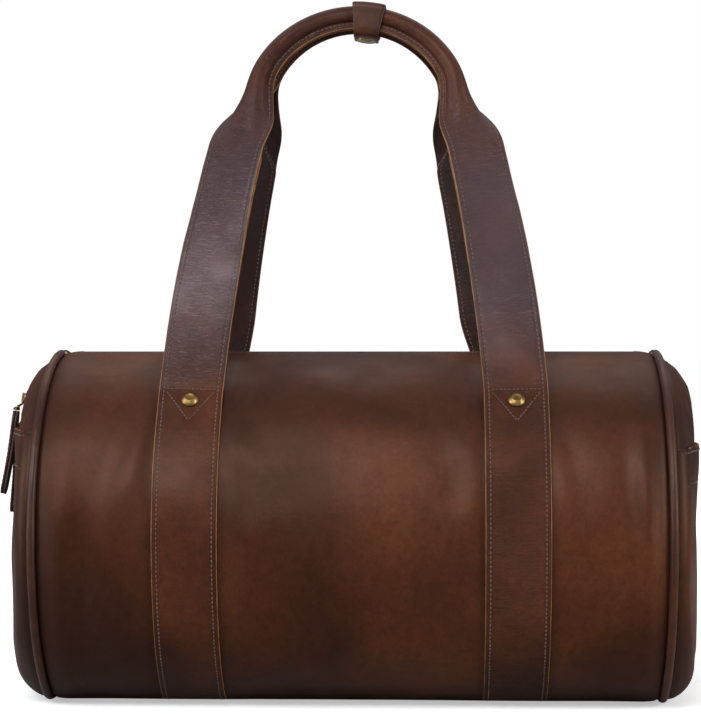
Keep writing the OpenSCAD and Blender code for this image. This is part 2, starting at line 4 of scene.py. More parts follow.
import bmesh
import bpy
import numpy as np
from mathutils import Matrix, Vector


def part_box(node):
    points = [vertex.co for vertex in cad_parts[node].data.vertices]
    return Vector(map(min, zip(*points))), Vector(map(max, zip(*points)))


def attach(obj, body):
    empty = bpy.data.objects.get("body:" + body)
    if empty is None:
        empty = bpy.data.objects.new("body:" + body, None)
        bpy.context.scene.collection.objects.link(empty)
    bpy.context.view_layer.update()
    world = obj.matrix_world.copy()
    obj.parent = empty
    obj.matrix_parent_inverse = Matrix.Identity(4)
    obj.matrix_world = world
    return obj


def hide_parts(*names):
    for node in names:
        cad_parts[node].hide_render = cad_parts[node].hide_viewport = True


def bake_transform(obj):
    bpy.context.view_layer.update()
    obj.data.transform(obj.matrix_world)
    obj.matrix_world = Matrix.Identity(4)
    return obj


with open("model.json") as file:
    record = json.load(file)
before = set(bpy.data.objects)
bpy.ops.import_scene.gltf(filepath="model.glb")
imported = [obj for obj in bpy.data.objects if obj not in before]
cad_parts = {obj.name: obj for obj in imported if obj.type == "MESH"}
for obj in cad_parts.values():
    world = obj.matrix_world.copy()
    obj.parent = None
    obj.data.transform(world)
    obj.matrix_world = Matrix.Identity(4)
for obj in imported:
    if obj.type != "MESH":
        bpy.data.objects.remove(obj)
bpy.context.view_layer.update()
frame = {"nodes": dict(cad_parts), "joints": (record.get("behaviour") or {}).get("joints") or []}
MM = 0.001


def joint(name):
    return next(j for j in frame["joints"] if j["name"] == name)


def box_mm(node):
    lo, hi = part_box(node)
    return np.array(lo) / MM, np.array(hi) / MM


# ---------- sizes in mm, the first read from the imported frame, the rest given ---
EDGE_X, R, TOP = box_mm("body_wrap")[1]
AXIS = TOP - R
FACE = box_mm("right_end_panel")[1][0]
PIPE_LO, PIPE_HI = box_mm("right_piping")
PIPE_R = (PIPE_HI[0] - PIPE_LO[0]) / 2
SEAM_X = (PIPE_HI[0] + PIPE_LO[0]) / 2
PIPE_RAD = PIPE_HI[1] - PIPE_R
FOLD = np.array(joint("front_handle_swing")["pos_m"]) / MM
FOLD_Y, FOLD_Z = -FOLD[1], FOLD[2]
ARC = np.array(joint("upper_slider_travel")["pos_m"]) / MM
CORNER_X, CORNER_Z = -ARC[0], ARC[2]
CORNER_R = FACE - CORNER_X
STRAP_LO, STRAP_HI = box_mm("girth_strap_right")
STRAP_X = (STRAP_LO[0] + STRAP_HI[0]) / 2
STRAP_W = STRAP_HI[0] - STRAP_LO[0]
ZIP_END = box_mm("zip_tape_rear")[0][2] + 4
POCKET = {s: box_mm(n) for s, n in ((-1, "left_pocket"), (1, "right_pocket"))}
# half of the zip slot; thickness of a single sheet; stitch row to strap edge; clearance over the floor
SLOT, SHEET_T, ROW_IN, FLOOR = 7.0, 1.7, 3.4, 0.3
# how far the legs of a handle lean in at its top and foot (deg), leg height, radius of the arch
SPLAY_TOP, SPLAY_BASE, LEG_H, ARCH_R = 15.0, 4.4, 224.0, 76.0
GRIP_R, STRAP_T = 5.5, 2.0
ATTACH = math.atan2(FOLD_Z - AXIS, FOLD_Y)


# ---------- node materials ----------
class Nodes:
    def __init__(self, name):
        self.mat = bpy.data.materials.new(name)
        self.mat.use_nodes = True
        self.tree = self.mat.node_tree
        self.tree.nodes.clear()
        self.out = self.add("ShaderNodeOutputMaterial")
        self.bsdf = self.add("ShaderNodeBsdfPrincipled")
        self.link(self.bsdf.outputs[0], self.out.inputs[0])
        self.coord = self.add("ShaderNodeTexCoord")

    def add(self, kind, **values):
        n = self.tree.nodes.new(kind)
        for k, v in values.items():
            if hasattr(n, k):
                setattr(n, k, v)
            else:
                n.inputs[k.replace("_", " ").title()].default_value = v
        return n

    def link(self, a, b):
        self.tree.links.new(a, b)

    def plug(self, socket, value):
        """Feeds a socket from another node's output, a number or a colour."""
        if hasattr(value, "is_output"):
            self.link(value, socket)
        else:
            socket.default_value = (*value, 1) if isinstance(value, tuple) else value

    def mapped(self, scale, source="Object"):
        m = self.add("ShaderNodeMapping", Scale=scale)
        self.link(self.coord.outputs[source], m.inputs["Vector"])
        return m.outputs[0]

    def texture(self, kind, vector=None, **values):
        n = self.add("ShaderNodeTex" + kind, **values)
        self.link(vector or self.coord.outputs["Object"], n.inputs["Vector"])
        return n

    def noise(self, scale, detail=3.0, rough=0.55, vector=None, distortion=0.0):
        n = self.texture("Noise", vector, Scale=scale, Detail=detail, Roughness=rough, Distortion=distortion)
        return n.outputs["Fac"]

    def wave(self, scale, distortion, direction):
        n = self.texture("Wave", bands_direction=direction, Scale=scale, Distortion=distortion)
        return n.outputs["Fac"]

    def ramp(self, fac, stops):
        n = self.add("ShaderNodeValToRGB")
        e = n.color_ramp.elements
        while len(e) < len(stops):
            e.new(0.5)
        for el, (place, level) in zip(e, stops):
            el.position = place
            el.color = (level, level, level, 1)
        self.link(fac, n.inputs["Fac"])
        return n.outputs["Color"]

    def mix(self, fac, a, b, blend="MIX"):
        n = self.add("ShaderNodeMix", data_type="RGBA", blend_type=blend)
        for k, value in ((0, fac), (6, a), (7, b)):
            self.plug(n.inputs[k], value)
        return n.outputs[2]

    def math(self, op, a, b=0.0):
        n = self.add("ShaderNodeMath", operation=op)
        self.plug(n.inputs[0], a)
        self.plug(n.inputs[1], b)
        return n.outputs[0]

    def bump(self, height, strength, distance, normal=None):
        n = self.add("ShaderNodeBump", Strength=strength, Distance=distance)
        self.link(height, n.inputs["Height"])
        if normal is not None:
            self.link(normal, n.inputs["Normal"])
        return n.outputs[0]

    def set(self, **values):
        for k, v in values.items():
            self.plug(self.bsdf.inputs[k.replace("_", " ")], v)


def srgb(h):
    c = [int(h[i:i + 2], 16) / 255 for i in (0, 2, 4)]
    return tuple(v / 12.92 if v <= 0.04045 else ((v + 0.055) / 1.055) ** 2.4 for v in c)


def leather(name, dark, mid, red, rough, coat, creases, patch, sheen, glow, legs=False):
    """Waxed leather: dark and red patches, grain, pores, darkening from the shade_and_wear attribute (painted
    shade and wear) and, if asked for, fine creases with painted shade in their lines.
    """
    n = Nodes(name)
    dark, mid, red = srgb(dark), srgb(mid), srgb(red)
    big = n.noise(patch, 3, 0.6, distortion=0.6)
    blush = n.noise(patch * 0.8, 2, 0.5, n.mapped((1.0, 1.4, 0.9)), 0.4)
    base = n.mix(n.ramp(big, [(0.36, 0.0), (0.64, 1.0)]), dark, mid)
    base = n.mix(n.ramp(blush, [(0.5, 0.0), (0.72, 0.75)]), base, red)
    base = n.mix(n.ramp(n.noise(patch * 6, 4, 0.6), [(0.3, 0.0), (0.75, 0.35)]), base, dark)
    base = n.mix(1.0, base, n.ramp(n.noise(420, 3, 0.7), [(0.25, 0.78), (0.7, 1.06)]), "MULTIPLY")
    base = n.mix(1.0, base, n.ramp(n.noise(170, 4, 0.7), [(0.32, 0.8), (0.66, 1.12)]), "MULTIPLY")
    shade_and_wear_level = n.add("ShaderNodeAttribute", attribute_name="shade_and_wear").outputs["Fac"]
    # painted shade and wear: darkens towards 1c0f0a by the shade_and_wear attribute, which marks painted
    # shade at seams, beside straps, along hems and near the floor, and wear or even tone on straps, piping
    # and pulls
    base = n.mix(n.math("MULTIPLY", shade_and_wear_level, 0.55), base, srgb("1c0f0a"))
    grain = n.texture("Voronoi", feature="DISTANCE_TO_EDGE", Scale=1050).outputs["Distance"]
    nap = n.bump(n.ramp(grain, [(0.0, 0.0), (0.18, 1.0)]), 0.10, 0.0004)
    nap = n.bump(n.noise(1500, 2, 0.5), 0.07, 0.0003, nap)
    nap = n.bump(n.noise(300, 3, 0.6), 0.16, 0.0005, nap)
    nap = n.bump(n.noise(46, 3, 0.5), 0.10, 0.0022, nap)
    if creases:
        # thin wavy lines across the strap, in patches, fading out where it lies on the bag
        lines = n.noise(1.0, 4, 0.62, n.mapped((820.0, 95.0, 1.0), "UV"), 1.1)
        ridge = n.ramp(n.math("ABSOLUTE", n.math("SUBTRACT", lines, 0.5)), [(0.0, 0.0), (0.09, 1.0)])
        along = n.add("ShaderNodeSeparateXYZ")
        n.link(n.coord.outputs["UV"], along.inputs[0])
        where = n.ramp(n.noise(16, 2, 0.5), [(0.36, 0.1), (0.62, 1.0)])
        where = n.math("MULTIPLY", where, n.ramp(along.outputs[0], [(0.0, 0.12), (0.03, 1.0)]))
        depth = n.mix(where, (1.0, 1.0, 1.0), ridge)
        nap = n.bump(depth, creases, 0.0007, nap)
        # painted shade: the crease lines are darkened towards 1a0d0b
        base = n.mix(n.math("MULTIPLY", n.math("SUBTRACT", 1.0, depth), 0.42), base, srgb("1a0d0b"))
    dull = n.ramp(n.noise(30, 4, 0.6), [(0.3, rough - 0.06), (0.75, rough + 0.1)])
    n.set(Base_Color=base, Roughness=dull, Normal=nap, Coat_Weight=coat, Coat_Roughness=0.26)
    n.set(Sheen_Weight=sheen, Sheen_Roughness=0.4, Sheen_Tint=(0.75, 0.62, 0.66))
    n.set(Specular_IOR_Level=0.34, Specular_Tint=glow)
    if legs:
        # painted sheen on the free legs of the handles: above the fold their base colour is pulled towards
        # grey-violet, and they get a cool tint, coat and sheen
        height = n.add("ShaderNodeSeparateXYZ")
        n.link(n.coord.outputs["Object"], height.inputs[0])
        foot = FOLD_Z * MM
        stops = [(foot - 0.005, 0.0), (foot + 0.065, 1.0), (0.36, 1.0), (0.44, 0.1)]
        leg_sheen = n.ramp(height.outputs["Z"], stops)
        # painted sheen: the base colour is pulled towards grey-violet 4d3c42
        n.set(Base_Color=n.mix(n.math("MULTIPLY", leg_sheen, 0.4), base, srgb("4d3c42")))
        n.set(Specular_Tint=n.mix(leg_sheen, WARM, glow), Coat_Weight=n.math("MULTIPLY", leg_sheen, coat))
        n.set(Sheen_Weight=n.math("MULTIPLY", leg_sheen, sheen), Sheen_Tint=(0.72, 0.72, 0.95))
    return n.mat


def raw_edge(name, a, b):
    n = Nodes(name)
    fibre = n.noise(900, 4, 0.7, n.mapped((1.0, 1.0, 1.0)))
    long = n.noise(70, 3, 0.6)
    c = n.mix(n.ramp(long, [(0.3, 0.0), (0.7, 1.0)]), srgb(a), srgb(b))
    c = n.mix(n.ramp(fibre, [(0.35, 0.45), (0.6, 0.0)]), c, srgb("3a2012"))
    n.set(Base_Color=c, Roughness=0.62, Normal=n.bump(fibre, 0.35, 0.0005))
    return n.mat


def metal(name, light, dark, rough=0.3):
    n = Nodes(name)
    tarnish = n.noise(160, 4, 0.65)
    scratch = n.noise(900, 2, 0.5, n.mapped((1.0, 6.0, 1.0)))
    c = n.mix(n.ramp(tarnish, [(0.35, 0.0), (0.7, 1.0)]), srgb(light), srgb(dark))
    n.set(Base_Color=c, Metallic=1.0, Normal=n.bump(scratch, 0.12, 0.0002))
    n.set(Roughness=n.ramp(tarnish, [(0.3, rough - 0.08), (0.7, rough + 0.14)]))
    return n.mat


def cloth_mat(name, a, b, pitch=1.1):
    n = Nodes(name)
    k = 2 * math.pi / pitch / 6.28 * 1000 / 20
    warp = n.wave(k, 0.4, "X")
    weft = n.wave(k, 0.4, "Z")
    side = n.wave(k, 0.4, "Y")
    weave = n.math("MULTIPLY", n.math("ADD", warp, side), weft)
    c = n.mix(weave, srgb(a), srgb(b))
    c = n.mix(n.ramp(n.noise(35, 3), [(0.3, 0.3), (0.7, 0.0)]), c, srgb(a))
    n.set(Base_Color=c, Roughness=0.85, Normal=n.bump(weave, 0.4, 0.0004), Sheen_Weight=0.3)
    return n.mat


def thread_mat(name, a, b):
    n = Nodes(name)
    twist = n.noise(2500, 2, 0.5)
    c = n.mix(n.noise(60, 2), srgb(a), srgb(b))
    n.set(Base_Color=c, Roughness=0.7, Normal=n.bump(twist, 0.5, 0.0002), Sheen_Weight=0.2)
    return n.mat


WARM, COOL = (1.0, 0.6, 0.44), (0.9, 0.92, 1.0)
BODY = leather("body_leather", "30160d", "4d2514", "6c3b20", 0.44, 0.0, 0.0, 6.5, 0.01, WARM)
STRAP = leather("strap_leather", "36180f", "502716", "673920", 0.42, 0.14, 0.5, 9.0, 0.35, COOL, legs=True)
TRIM = leather("trim_leather", "34180e", "532a16", "683a21", 0.42, 0.04, 0.08, 14.0, 0.12, (1.0, 0.85, 0.78))
FLESH = leather("under_leather", "2b1815", "40241c", "4c3026", 0.52, 0.05, 0.5, 12.0, 0.15, COOL)
RAW = raw_edge("raw_edge", "b0753c", "754824")
DARK_EDGE = raw_edge("dyed_edge", "3a2114", "22120b")
THREAD = thread_mat("thread", "33201d", "715445")
LINING = cloth_mat("lining_cloth", "6b5a44", "8c7a60", 1.4)
TAPE = cloth_mat("zip_cloth", "0d0908", "231a17", 0.9)
BOARD = raw_edge("board", "2a2a2a", "1b1b1b")
CORD = cloth_mat("cord", "a8977c", "cdbfa5", 0.8)
BRASS = metal("antique_brass", "b3935c", "6a4d2b", 0.4)
PALE = metal("pale_brass", "e2d3ab", "a98f60", 0.24)
ZIPM = metal("zip_metal", "5b4630", "2a1f16", 0.34)


# ---------- mesh helpers ----------
def make(name, verts, faces, mats, index=None, uv=None, smooth=True):
    me = bpy.data.meshes.new(name)
    me.from_pydata((np.asarray(verts, float) * MM).tolist(), [], [list(map(int, f)) for f in faces])
    for m in mats:
        me.materials.append(m)
    if index is not None:
        me.polygons.foreach_set("material_index", np.asarray(index, np.int32))
    me.polygons.foreach_set("use_smooth", np.full(len(me.polygons), smooth))
    if uv is not None:
        layer = me.uv_layers.new(name="UVMap")
        loops = np.zeros(len(me.loops), np.int32)
        me.loops.foreach_get("vertex_index", loops)
        layer.data.foreach_set("uv", (np.asarray(uv, float)[loops] * MM).astype(np.float32).ravel())
    me.update()
    o = bpy.data.objects.new(name, me)
    bpy.context.scene.collection.objects.link(o)
    return o


def grid_faces(rows, cols, wrap_cols=False, start=0):
    f = []
    for j in range(rows - 1):
        for i in range(cols if wrap_cols else cols - 1):
            a, b = (start + j * cols + k for k in (i, (i + 1) % cols))
            f.append((a, b, b + cols, a + cols))
    return f


def tube_faces(rows, cols, start=0):
    """A grid closed round its columns, with a face over each end."""
    last = start + (rows - 1) * cols
    caps = [tuple(range(start, start + cols))[::-1], tuple(range(last, last + cols))]
    return grid_faces(rows, cols, wrap_cols=True, start=start) + caps


def grid_uv(along, across):
    """UV of a grid from the distance along its rows and the place across them."""
    m, n = len(along), np.shape(across)[-1]
    return np.stack([np.repeat(along[:, None], n, 1), np.broadcast_to(across, (m, n))], -1).reshape(-1, 2)


def run_length(path):
    return np.concatenate([[0], np.cumsum(np.linalg.norm(np.diff(path, axis=0), axis=1))])


def unit(v):
    return v / np.maximum(np.linalg.norm(v, axis=-1, keepdims=True), 1e-9)


def smooth01(a, b, v):
    f = np.clip((np.asarray(v, float) - a) / (b - a), 0, 1)
    return f * f * (3 - 2 * f)


def field(p, scale, seed=0, octaves=3):
    """Smooth, repeatable noise in about -1 to 1 at points p (mm)."""
    g = np.random.default_rng(100 + seed)
    out = np.zeros(len(p))
    amp = 1.0
    for k in range(octaves):
        for _ in range(5):
            d = unit(g.normal(size=3))
            w = 2 * np.pi / (scale / 2 ** k * g.uniform(0.7, 1.4))
            out += amp * np.sin(p @ d * w + g.uniform(0, 6.28)) / 3.5
        amp *= 0.5
    return out


class Bag:
    """Collects parts of one piece: vertices, faces, materials."""

    def __init__(self):
        self.v, self.f, self.m, self.uv = [], [], [], []
        self.n = 0

    def add(self, verts, faces, mat, uv=None):
        verts = np.asarray(verts, float).reshape(-1, 3)
        self.v.append(verts)
        self.f += [tuple(i + self.n for i in f) for f in faces]
        self.m += [mat] * len(faces) if isinstance(mat, int) else list(mat)
        self.uv.append(np.zeros((len(verts), 2)) if uv is None else np.asarray(uv, float))
        self.n += len(verts)

    def build(self, name, mats):
        return make(name, np.concatenate(self.v), self.f, mats, self.m, np.concatenate(self.uv))


def add_stitches(bag, pts, normals, mat, length=2.4, gap=0.8, r=0.42, lift=0.1):
    """Lays short thread stitches along a path on a surface."""
    pts = np.asarray(pts, float)
    s = run_length(pts)
    step = length + gap
    count = int(s[-1] / step)
    if count < 1:
        return
    start = (s[-1] - count * step + gap) / 2
    t = np.array([-0.5, -0.36, 0.0, 0.36, 0.5])
    w = np.array([0.25, 0.85, 1.0, 0.85, 0.25])
    sink = np.array([-0.9, -0.2, 0.15, -0.2, -0.9])
    at = start + np.arange(count)[:, None] * step + length / 2 + t[None] * length
    pos = np.stack([np.interp(at, s, pts[:, k]) for k in range(3)], -1)
    nor = unit(np.stack([np.interp(at, s, normals[:, k]) for k in range(3)], -1))
    tan = unit(pos[:, -1:] - pos[:, :1])
    side = unit(np.cross(nor, tan))
    sides = 6
    a = np.arange(sides) / sides * 2 * np.pi
    ring = (np.cos(a)[None, None, :, None] * side[:, :, None] * 1.15
            + np.sin(a)[None, None, :, None] * nor[:, :, None]) * (r * w)[None, :, None, None]
    mid = pos + nor * (lift + sink * r)[None, :, None]
    v = (mid[:, :, None] + ring).reshape(-1, 3)
    faces = []
    per = len(t) * sides
    for c in range(count):
        faces += tube_faces(len(t), sides, c * per)
    bag.add(v, faces, mat)


def finish_piece(o, body, replaces=()):
    if replaces:
        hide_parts(*replaces)
    if body:
        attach(o, body)
    return o


def paint_shade_and_wear(o, values):
    """Where the leather is darkened, 0 to 1 for each vertex: painted shade at seams, beside straps, along
    hems and near the floor, and wear or even tone elsewhere.
    """
    a = o.data.attributes.new("shade_and_wear", "FLOAT", "POINT")
    a.data.foreach_set("value", np.zeros(len(o.data.vertices), np.float32) + np.asarray(values, np.float32))


def thicken(o, t, rim):
    """Gives a single-layer sheet its thickness inwards, with a cut edge."""
    m = o.modifiers.new("thick", "SOLIDIFY")
    m.thickness = t * MM
    m.offset = -1
    m.material_offset_rim = rim
    apply(o)


def apply(o):
    dg = bpy.context.evaluated_depsgraph_get()
    me = bpy.data.meshes.new_from_object(o.evaluated_get(dg), depsgraph=dg)
    old = o.data
    o.modifiers.clear()
    o.data = me
    me.name = old.name
    bpy.data.meshes.remove(old)


def coords(o):
    v = np.zeros(len(o.data.vertices) * 3)
    o.data.vertices.foreach_get("co", v)
    return v.reshape(-1, 3) / MM


def set_coords(o, v):
    o.data.vertices.foreach_set("co", (v * MM).ravel())
    o.data.update()


def fix_normals(o):
    bm = bmesh.new()
    bm.from_mesh(o.data)
    bmesh.ops.recalc_face_normals(bm, faces=bm.faces)
    bm.to_mesh(o.data)
    bm.free()


def blur(d, sigma):
    """Evens out a grid of movements, so folds stay broad and soft."""
    n = int(3 * sigma)
    k = np.exp(-0.5 * (np.arange(-n, n + 1) / sigma) ** 2)
    k /= k.sum()
    for axis in (0, 1):
        pad = [(0, 0)] * 3
        pad[axis] = (n, n)
        p = np.pad(d, pad, mode="edge")
        d = sum(w * np.take(p, range(i, i + d.shape[axis]), axis) for i, w in enumerate(k))
    return d


def puff(o, pin, pressure, cap, frames=18, grid=None):
    """Cloth simulation of a padded panel: pinned where pin is true, pushed out elsewhere.

    Returns the points before and after, in mm. No point moves further than cap.
    """
    rest = coords(o)
    o.vertex_groups.new(name="pin").add(np.nonzero(pin)[0].tolist(), 1.0, "REPLACE")
    m = o.modifiers.new("cloth", "CLOTH")
    leather_sheet = {
        "quality": 5, "mass": 0.4, "tension_stiffness": 25, "compression_stiffness": 18,
        "shear_stiffness": 12, "bending_stiffness": 8, "vertex_group_mass": "pin", "pin_stiffness": 1,
        "use_pressure": True, "uniform_pressure_force": pressure, "shrink_min": -0.006,
    }
    for key, value in leather_sheet.items():
        setattr(m.settings, key, value)
    m.settings.effector_weights.gravity = 0
    m.collision_settings.use_collision = False
    m.collision_settings.use_self_collision = False
    m.point_cache.frame_start = 1
    m.point_cache.frame_end = frames
    sc = bpy.context.scene
    for f in range(1, frames + 1):
        sc.frame_set(f)
        bpy.context.view_layer.update()
    dg = bpy.context.evaluated_depsgraph_get()
    ev = o.evaluated_get(dg)
    v = np.zeros(len(ev.data.vertices) * 3)
    ev.data.vertices.foreach_get("co", v)
    v = v.reshape(-1, 3) / MM
    o.modifiers.clear()
    o.vertex_groups.clear()
    sc.frame_set(1)
    d = v - rest
    d *= np.minimum(1, cap / np.maximum(np.linalg.norm(d, axis=1, keepdims=True), 1e-9))
    if grid:
        d = d.reshape(*grid, 3)
        d = (0.8 * blur(d, 3.2) + 0.2 * blur(d, 1.0)).reshape(-1, 3)
    v = rest + d
    set_coords(o, v)
    return rest, v


# ---------- barrel ----------
def rad_at(x):
    """Radius of the leather's outer face at distance x from the middle."""
    d = np.clip(np.abs(x) - CORNER_X, 0, CORNER_R)
    return R - CORNER_R + np.sqrt(np.maximum(CORNER_R ** 2 - d ** 2, 0))


def floor_map(z, low=FLOOR, k=2.2, clear=14.0):
    """Smooth floor: equal to z well above it, never below low. k sets how soft the turn is."""
    d = z - low
    return low + np.where(d > clear, d, k * np.log1p(np.exp(np.minimum(d, clear) / k)))


def sag(y, z):
    """The full bag settles: its lower sides belly out and its base spreads on the floor."""
    low = 1 - smooth01(18, 92, z)
    spread = np.exp(-((np.abs(y) - 60) / 34) ** 2)
    belly = np.exp(-((z - 40) / 32) ** 2) * smooth01(30, 100, np.abs(y))
    return y + np.sign(y) * 3.4 * belly, z - 5.6 * low * spread


BARREL_GRID = (132, 300)
BARREL_END = EDGE_X + 1.9


def barrel_sheet():
    """The wrap as a grid: X along the bag, A the angle from the zip round the girth."""
    half = math.asin(SLOT / R)
    X, A = np.meshgrid(np.linspace(-BARREL_END, BARREL_END, BARREL_GRID[0]),
                       np.linspace(half, 2 * np.pi - half, BARREL_GRID[1]), indexing="ij")
    r = rad_at(X) - 2.6 * smooth01(EDGE_X - 7, BARREL_END, np.abs(X)) ** 1.5
    Y = -r * np.sin(A)
    Y, Z = sag(Y, AXIS + r * np.cos(A))
    v = np.stack([X, Y, floor_map(Z)], -1).reshape(-1, 3)
    uv = np.stack([X, R * A], -1).reshape(-1, 2)
    return v, grid_faces(*BARREL_GRID), uv, X.ravel(), A.ravel()


def soft_folds(X, A):
    """Outward movement of the leather, mm: soft folds and dents of a standing bag."""
    p = np.stack([X, R * A, np.zeros_like(X)], -1)
    h = 0.55 * field(p, 190, 1) + 0.22 * field(p, 70, 2)
    folds = (
        # x, angle from the top, length along the girth (deg), width (mm), height, lean
        (197, 94, 36, 6.5, 2.6, 0.05), (185, 92, 30, 8, -2.2, 0.05), (204, 118, 14, 5, -1.2, 0.1),
        (-196, 100, 36, 7, 2.0, -0.06), (-182, 104, 28, 9, -1.7, -0.06),
        (-160, 62, 22, 10, -1.6, -0.75), (-146, 66, 20, 9, 1.3, -0.75), (-150, 96, 20, 9, -1.3, 0.6),
        (-163, 118, 22, 9, 1.3, 0.7), (150, 66, 18, 9, -1.2, 0.7), (160, 112, 24, 9, -1.2, -0.6),
        (150, 128, 18, 9, 1.2, -0.6), (-80, 46, 10, 14, -1.2, 0.3), (-60, 84, 30, 22, 0.9, 0.2),
        (60, 70, 26, 22, -0.9, 0.3), (-20, 118, 30, 30, 0.9, -0.2), (40, 40, 12, 40, -0.8, 0.0),
        (194, 265, 30, 8, 1.9, 0.05), (-190, 262, 30, 8, 1.6, -0.05),
        (30, 250, 30, 26, -1.0, 0.2), (140, 60, 18, 12, -0.8, 0.4), (150, 290, 20, 10, -1.2, -0.7),
        (-155, 296, 20, 10, -1.2, 0.7), (-60, 280, 26, 22, 0.9, -0.3),
    )
    for x, angle, length, width, height, lean in folds:
        da = np.degrees(A) - angle
        h += height * np.exp(-(da / length) ** 2 - ((X - x - lean * da) / width) ** 2)
    return h


def build_body():
    v, f, uv, X, A = barrel_sheet()
    o = make("barrel_leather", v, f, [BODY, RAW], uv=uv)
    x = np.abs(X)
    beside = np.abs(x - STRAP_X) - STRAP_W / 2
    at_zip = np.sin(A / 2) < SLOT / R
    v = puff(o, (beside < 0) | (x > EDGE_X - 3) | at_zip | (v[:, 2] < 2.5), 5.0, 3.0, grid=BARREL_GRID)[1]
    above = smooth01(1, 26, v[:, 2])
    free = smooth01(0, 14, beside) * smooth01(0, 16, EDGE_X - 2 - x) * above
    free *= smooth01(8, 30, np.minimum(R * A, R * (2 * np.pi - A)))
    # folds stay shallow, the leather bulges between the straps, and the straps press into it
    lift = np.maximum(soft_folds(X, A) * free, -2.4) + 1.1 * free
    lift -= 0.5 * above * np.exp(-((beside - 1) / 3) ** 2)
    v = v + np.stack([np.zeros_like(X), -np.sin(A), np.cos(A)], -1) * lift[:, None]
    v[:, 2] = np.maximum(v[:, 2], FLOOR)
    set_coords(o, v)
    # painted shade: darker at the seams, in the dips beside the straps and near the floor
    seams, straps = 0.9 * smooth01(EDGE_X - 12, EDGE_X, x), 0.35 * np.exp(-(beside / 5) ** 2)
    paint_shade_and_wear(o, np.maximum(np.maximum(seams, straps), 0.6 * (1 - smooth01(0, 22, v[:, 2]))))
    thicken(o, SHEET_T, 1)
    finish_piece(o, "bag", ["body_wrap"])
    bag = Bag()
    xs = np.linspace(-EDGE_X + 4, EDGE_X - 4, 240)
    r = rad_at(xs)
    a = (SLOT + 2.2) / r
    for side in (-1, 1):
        nor = unit(np.stack([xs * 0, side * np.sin(a), np.cos(a)], -1))
        add_stitches(bag, np.stack([xs, 0 * xs, 0 * xs + AXIS], -1) + nor * r[:, None], nor, 0, lift=0.05)
    finish_piece(bag.build("zip_slot_stitching", [THREAD]), "bag")


# ---------- ends ----------
def end_profile(face, corner, rad, start, n=22, m=16):
    """Section of an end from its seam to its middle: rows of (x, radius)."""
    a0 = math.asin(min(1, max(0, (start - (face - corner)) / corner)))
    a = np.linspace(a0, np.pi / 2, n)
    x = face - corner + corner * np.sin(a)
    r = rad - corner + corner * np.cos(a)
    r2 = np.linspace(r[-1], 0.0, m + 1)[1:]
    return np.concatenate([x, np.full(m, face)]), np.concatenate([r, r2])


def end_shape(x, y, z, side):
    """A stuffed end curves away to front and back; only the zip keeps it full height."""
    deep = 1 - smooth01(R - 34, R - 1, np.hypot(y, z - AXIS))
    x = x - deep * 15.0 * np.minimum(np.abs(y) / 87, 1.25) ** 2
    if side > 0:
        x = x - 3.5 * deep * (1 - smooth01(120, 176, z))
    return x


def dish(name, face, corner, rad, start, mats, side, na=192, tuck=2.2):
    """A round end sheet with its turned corner, from start along the bag to its flat face."""
    x, r = end_profile(face, corner, rad, start)
    d = run_length(np.stack([x, r], -1))
    r = r - tuck * (1 - smooth01(0, 7, d)) ** 1.5
    x, r = x[:-1], r[:-1]
    a = np.arange(na) / na * 2 * np.pi
    Xg = np.repeat(x[:, None], na, 1)
    Y, Z = sag(r[:, None] * np.sin(a), AXIS + r[:, None] * np.cos(a))
    Xg = end_shape(Xg, Y, Z, side)
    v = np.stack([side * Xg, Y, floor_map(Z)], -1).reshape(-1, 3)
    v = np.concatenate([v, [[side * float(end_shape(face, 0, AXIS, side)), 0, AXIS]]])
    n = len(x)
    f = grid_faces(n, na, wrap_cols=True)
    f += [((n - 1) * na + i, (n - 1) * na + (i + 1) % na, n * na) for i in range(na)]
    if side > 0:
        f = [t[::-1] for t in f]
    uv = np.concatenate([np.stack([Y, Z], -1).reshape(-1, 2), [[0, AXIS]]])
    return make(name, v, f, mats, uv=uv)


def cut_sheet(o, planes, drop):
    """Scores the sheet along planes, then removes faces whose centre satisfies drop."""
    bm = bmesh.new()
    bm.from_mesh(o.data)
    for co, no in planes:
        geom = bm.verts[:] + bm.edges[:] + bm.faces[:]
        bmesh.ops.bisect_plane(bm, geom=geom, dist=1e-6, plane_co=[c * MM for c in co], plane_no=no)
    gone = [f for f in bm.faces if drop(np.array(f.calc_center_median()) / MM)]
    bmesh.ops.delete(bm, geom=gone, context="FACES")
    bm.to_mesh(o.data)
    bm.free()


def cut_for_zip(o, half, low):
    """Opens an end sheet for the zip: half wide to each side, down to low."""
    planes = [((0, half, 0), (0, 1, 0)), ((0, -half, 0), (0, 1, 0)), ((0, 0, low), (0, 0, 1))]
    cut_sheet(o, planes, lambda c: abs(c[1]) < half and c[2] > low)


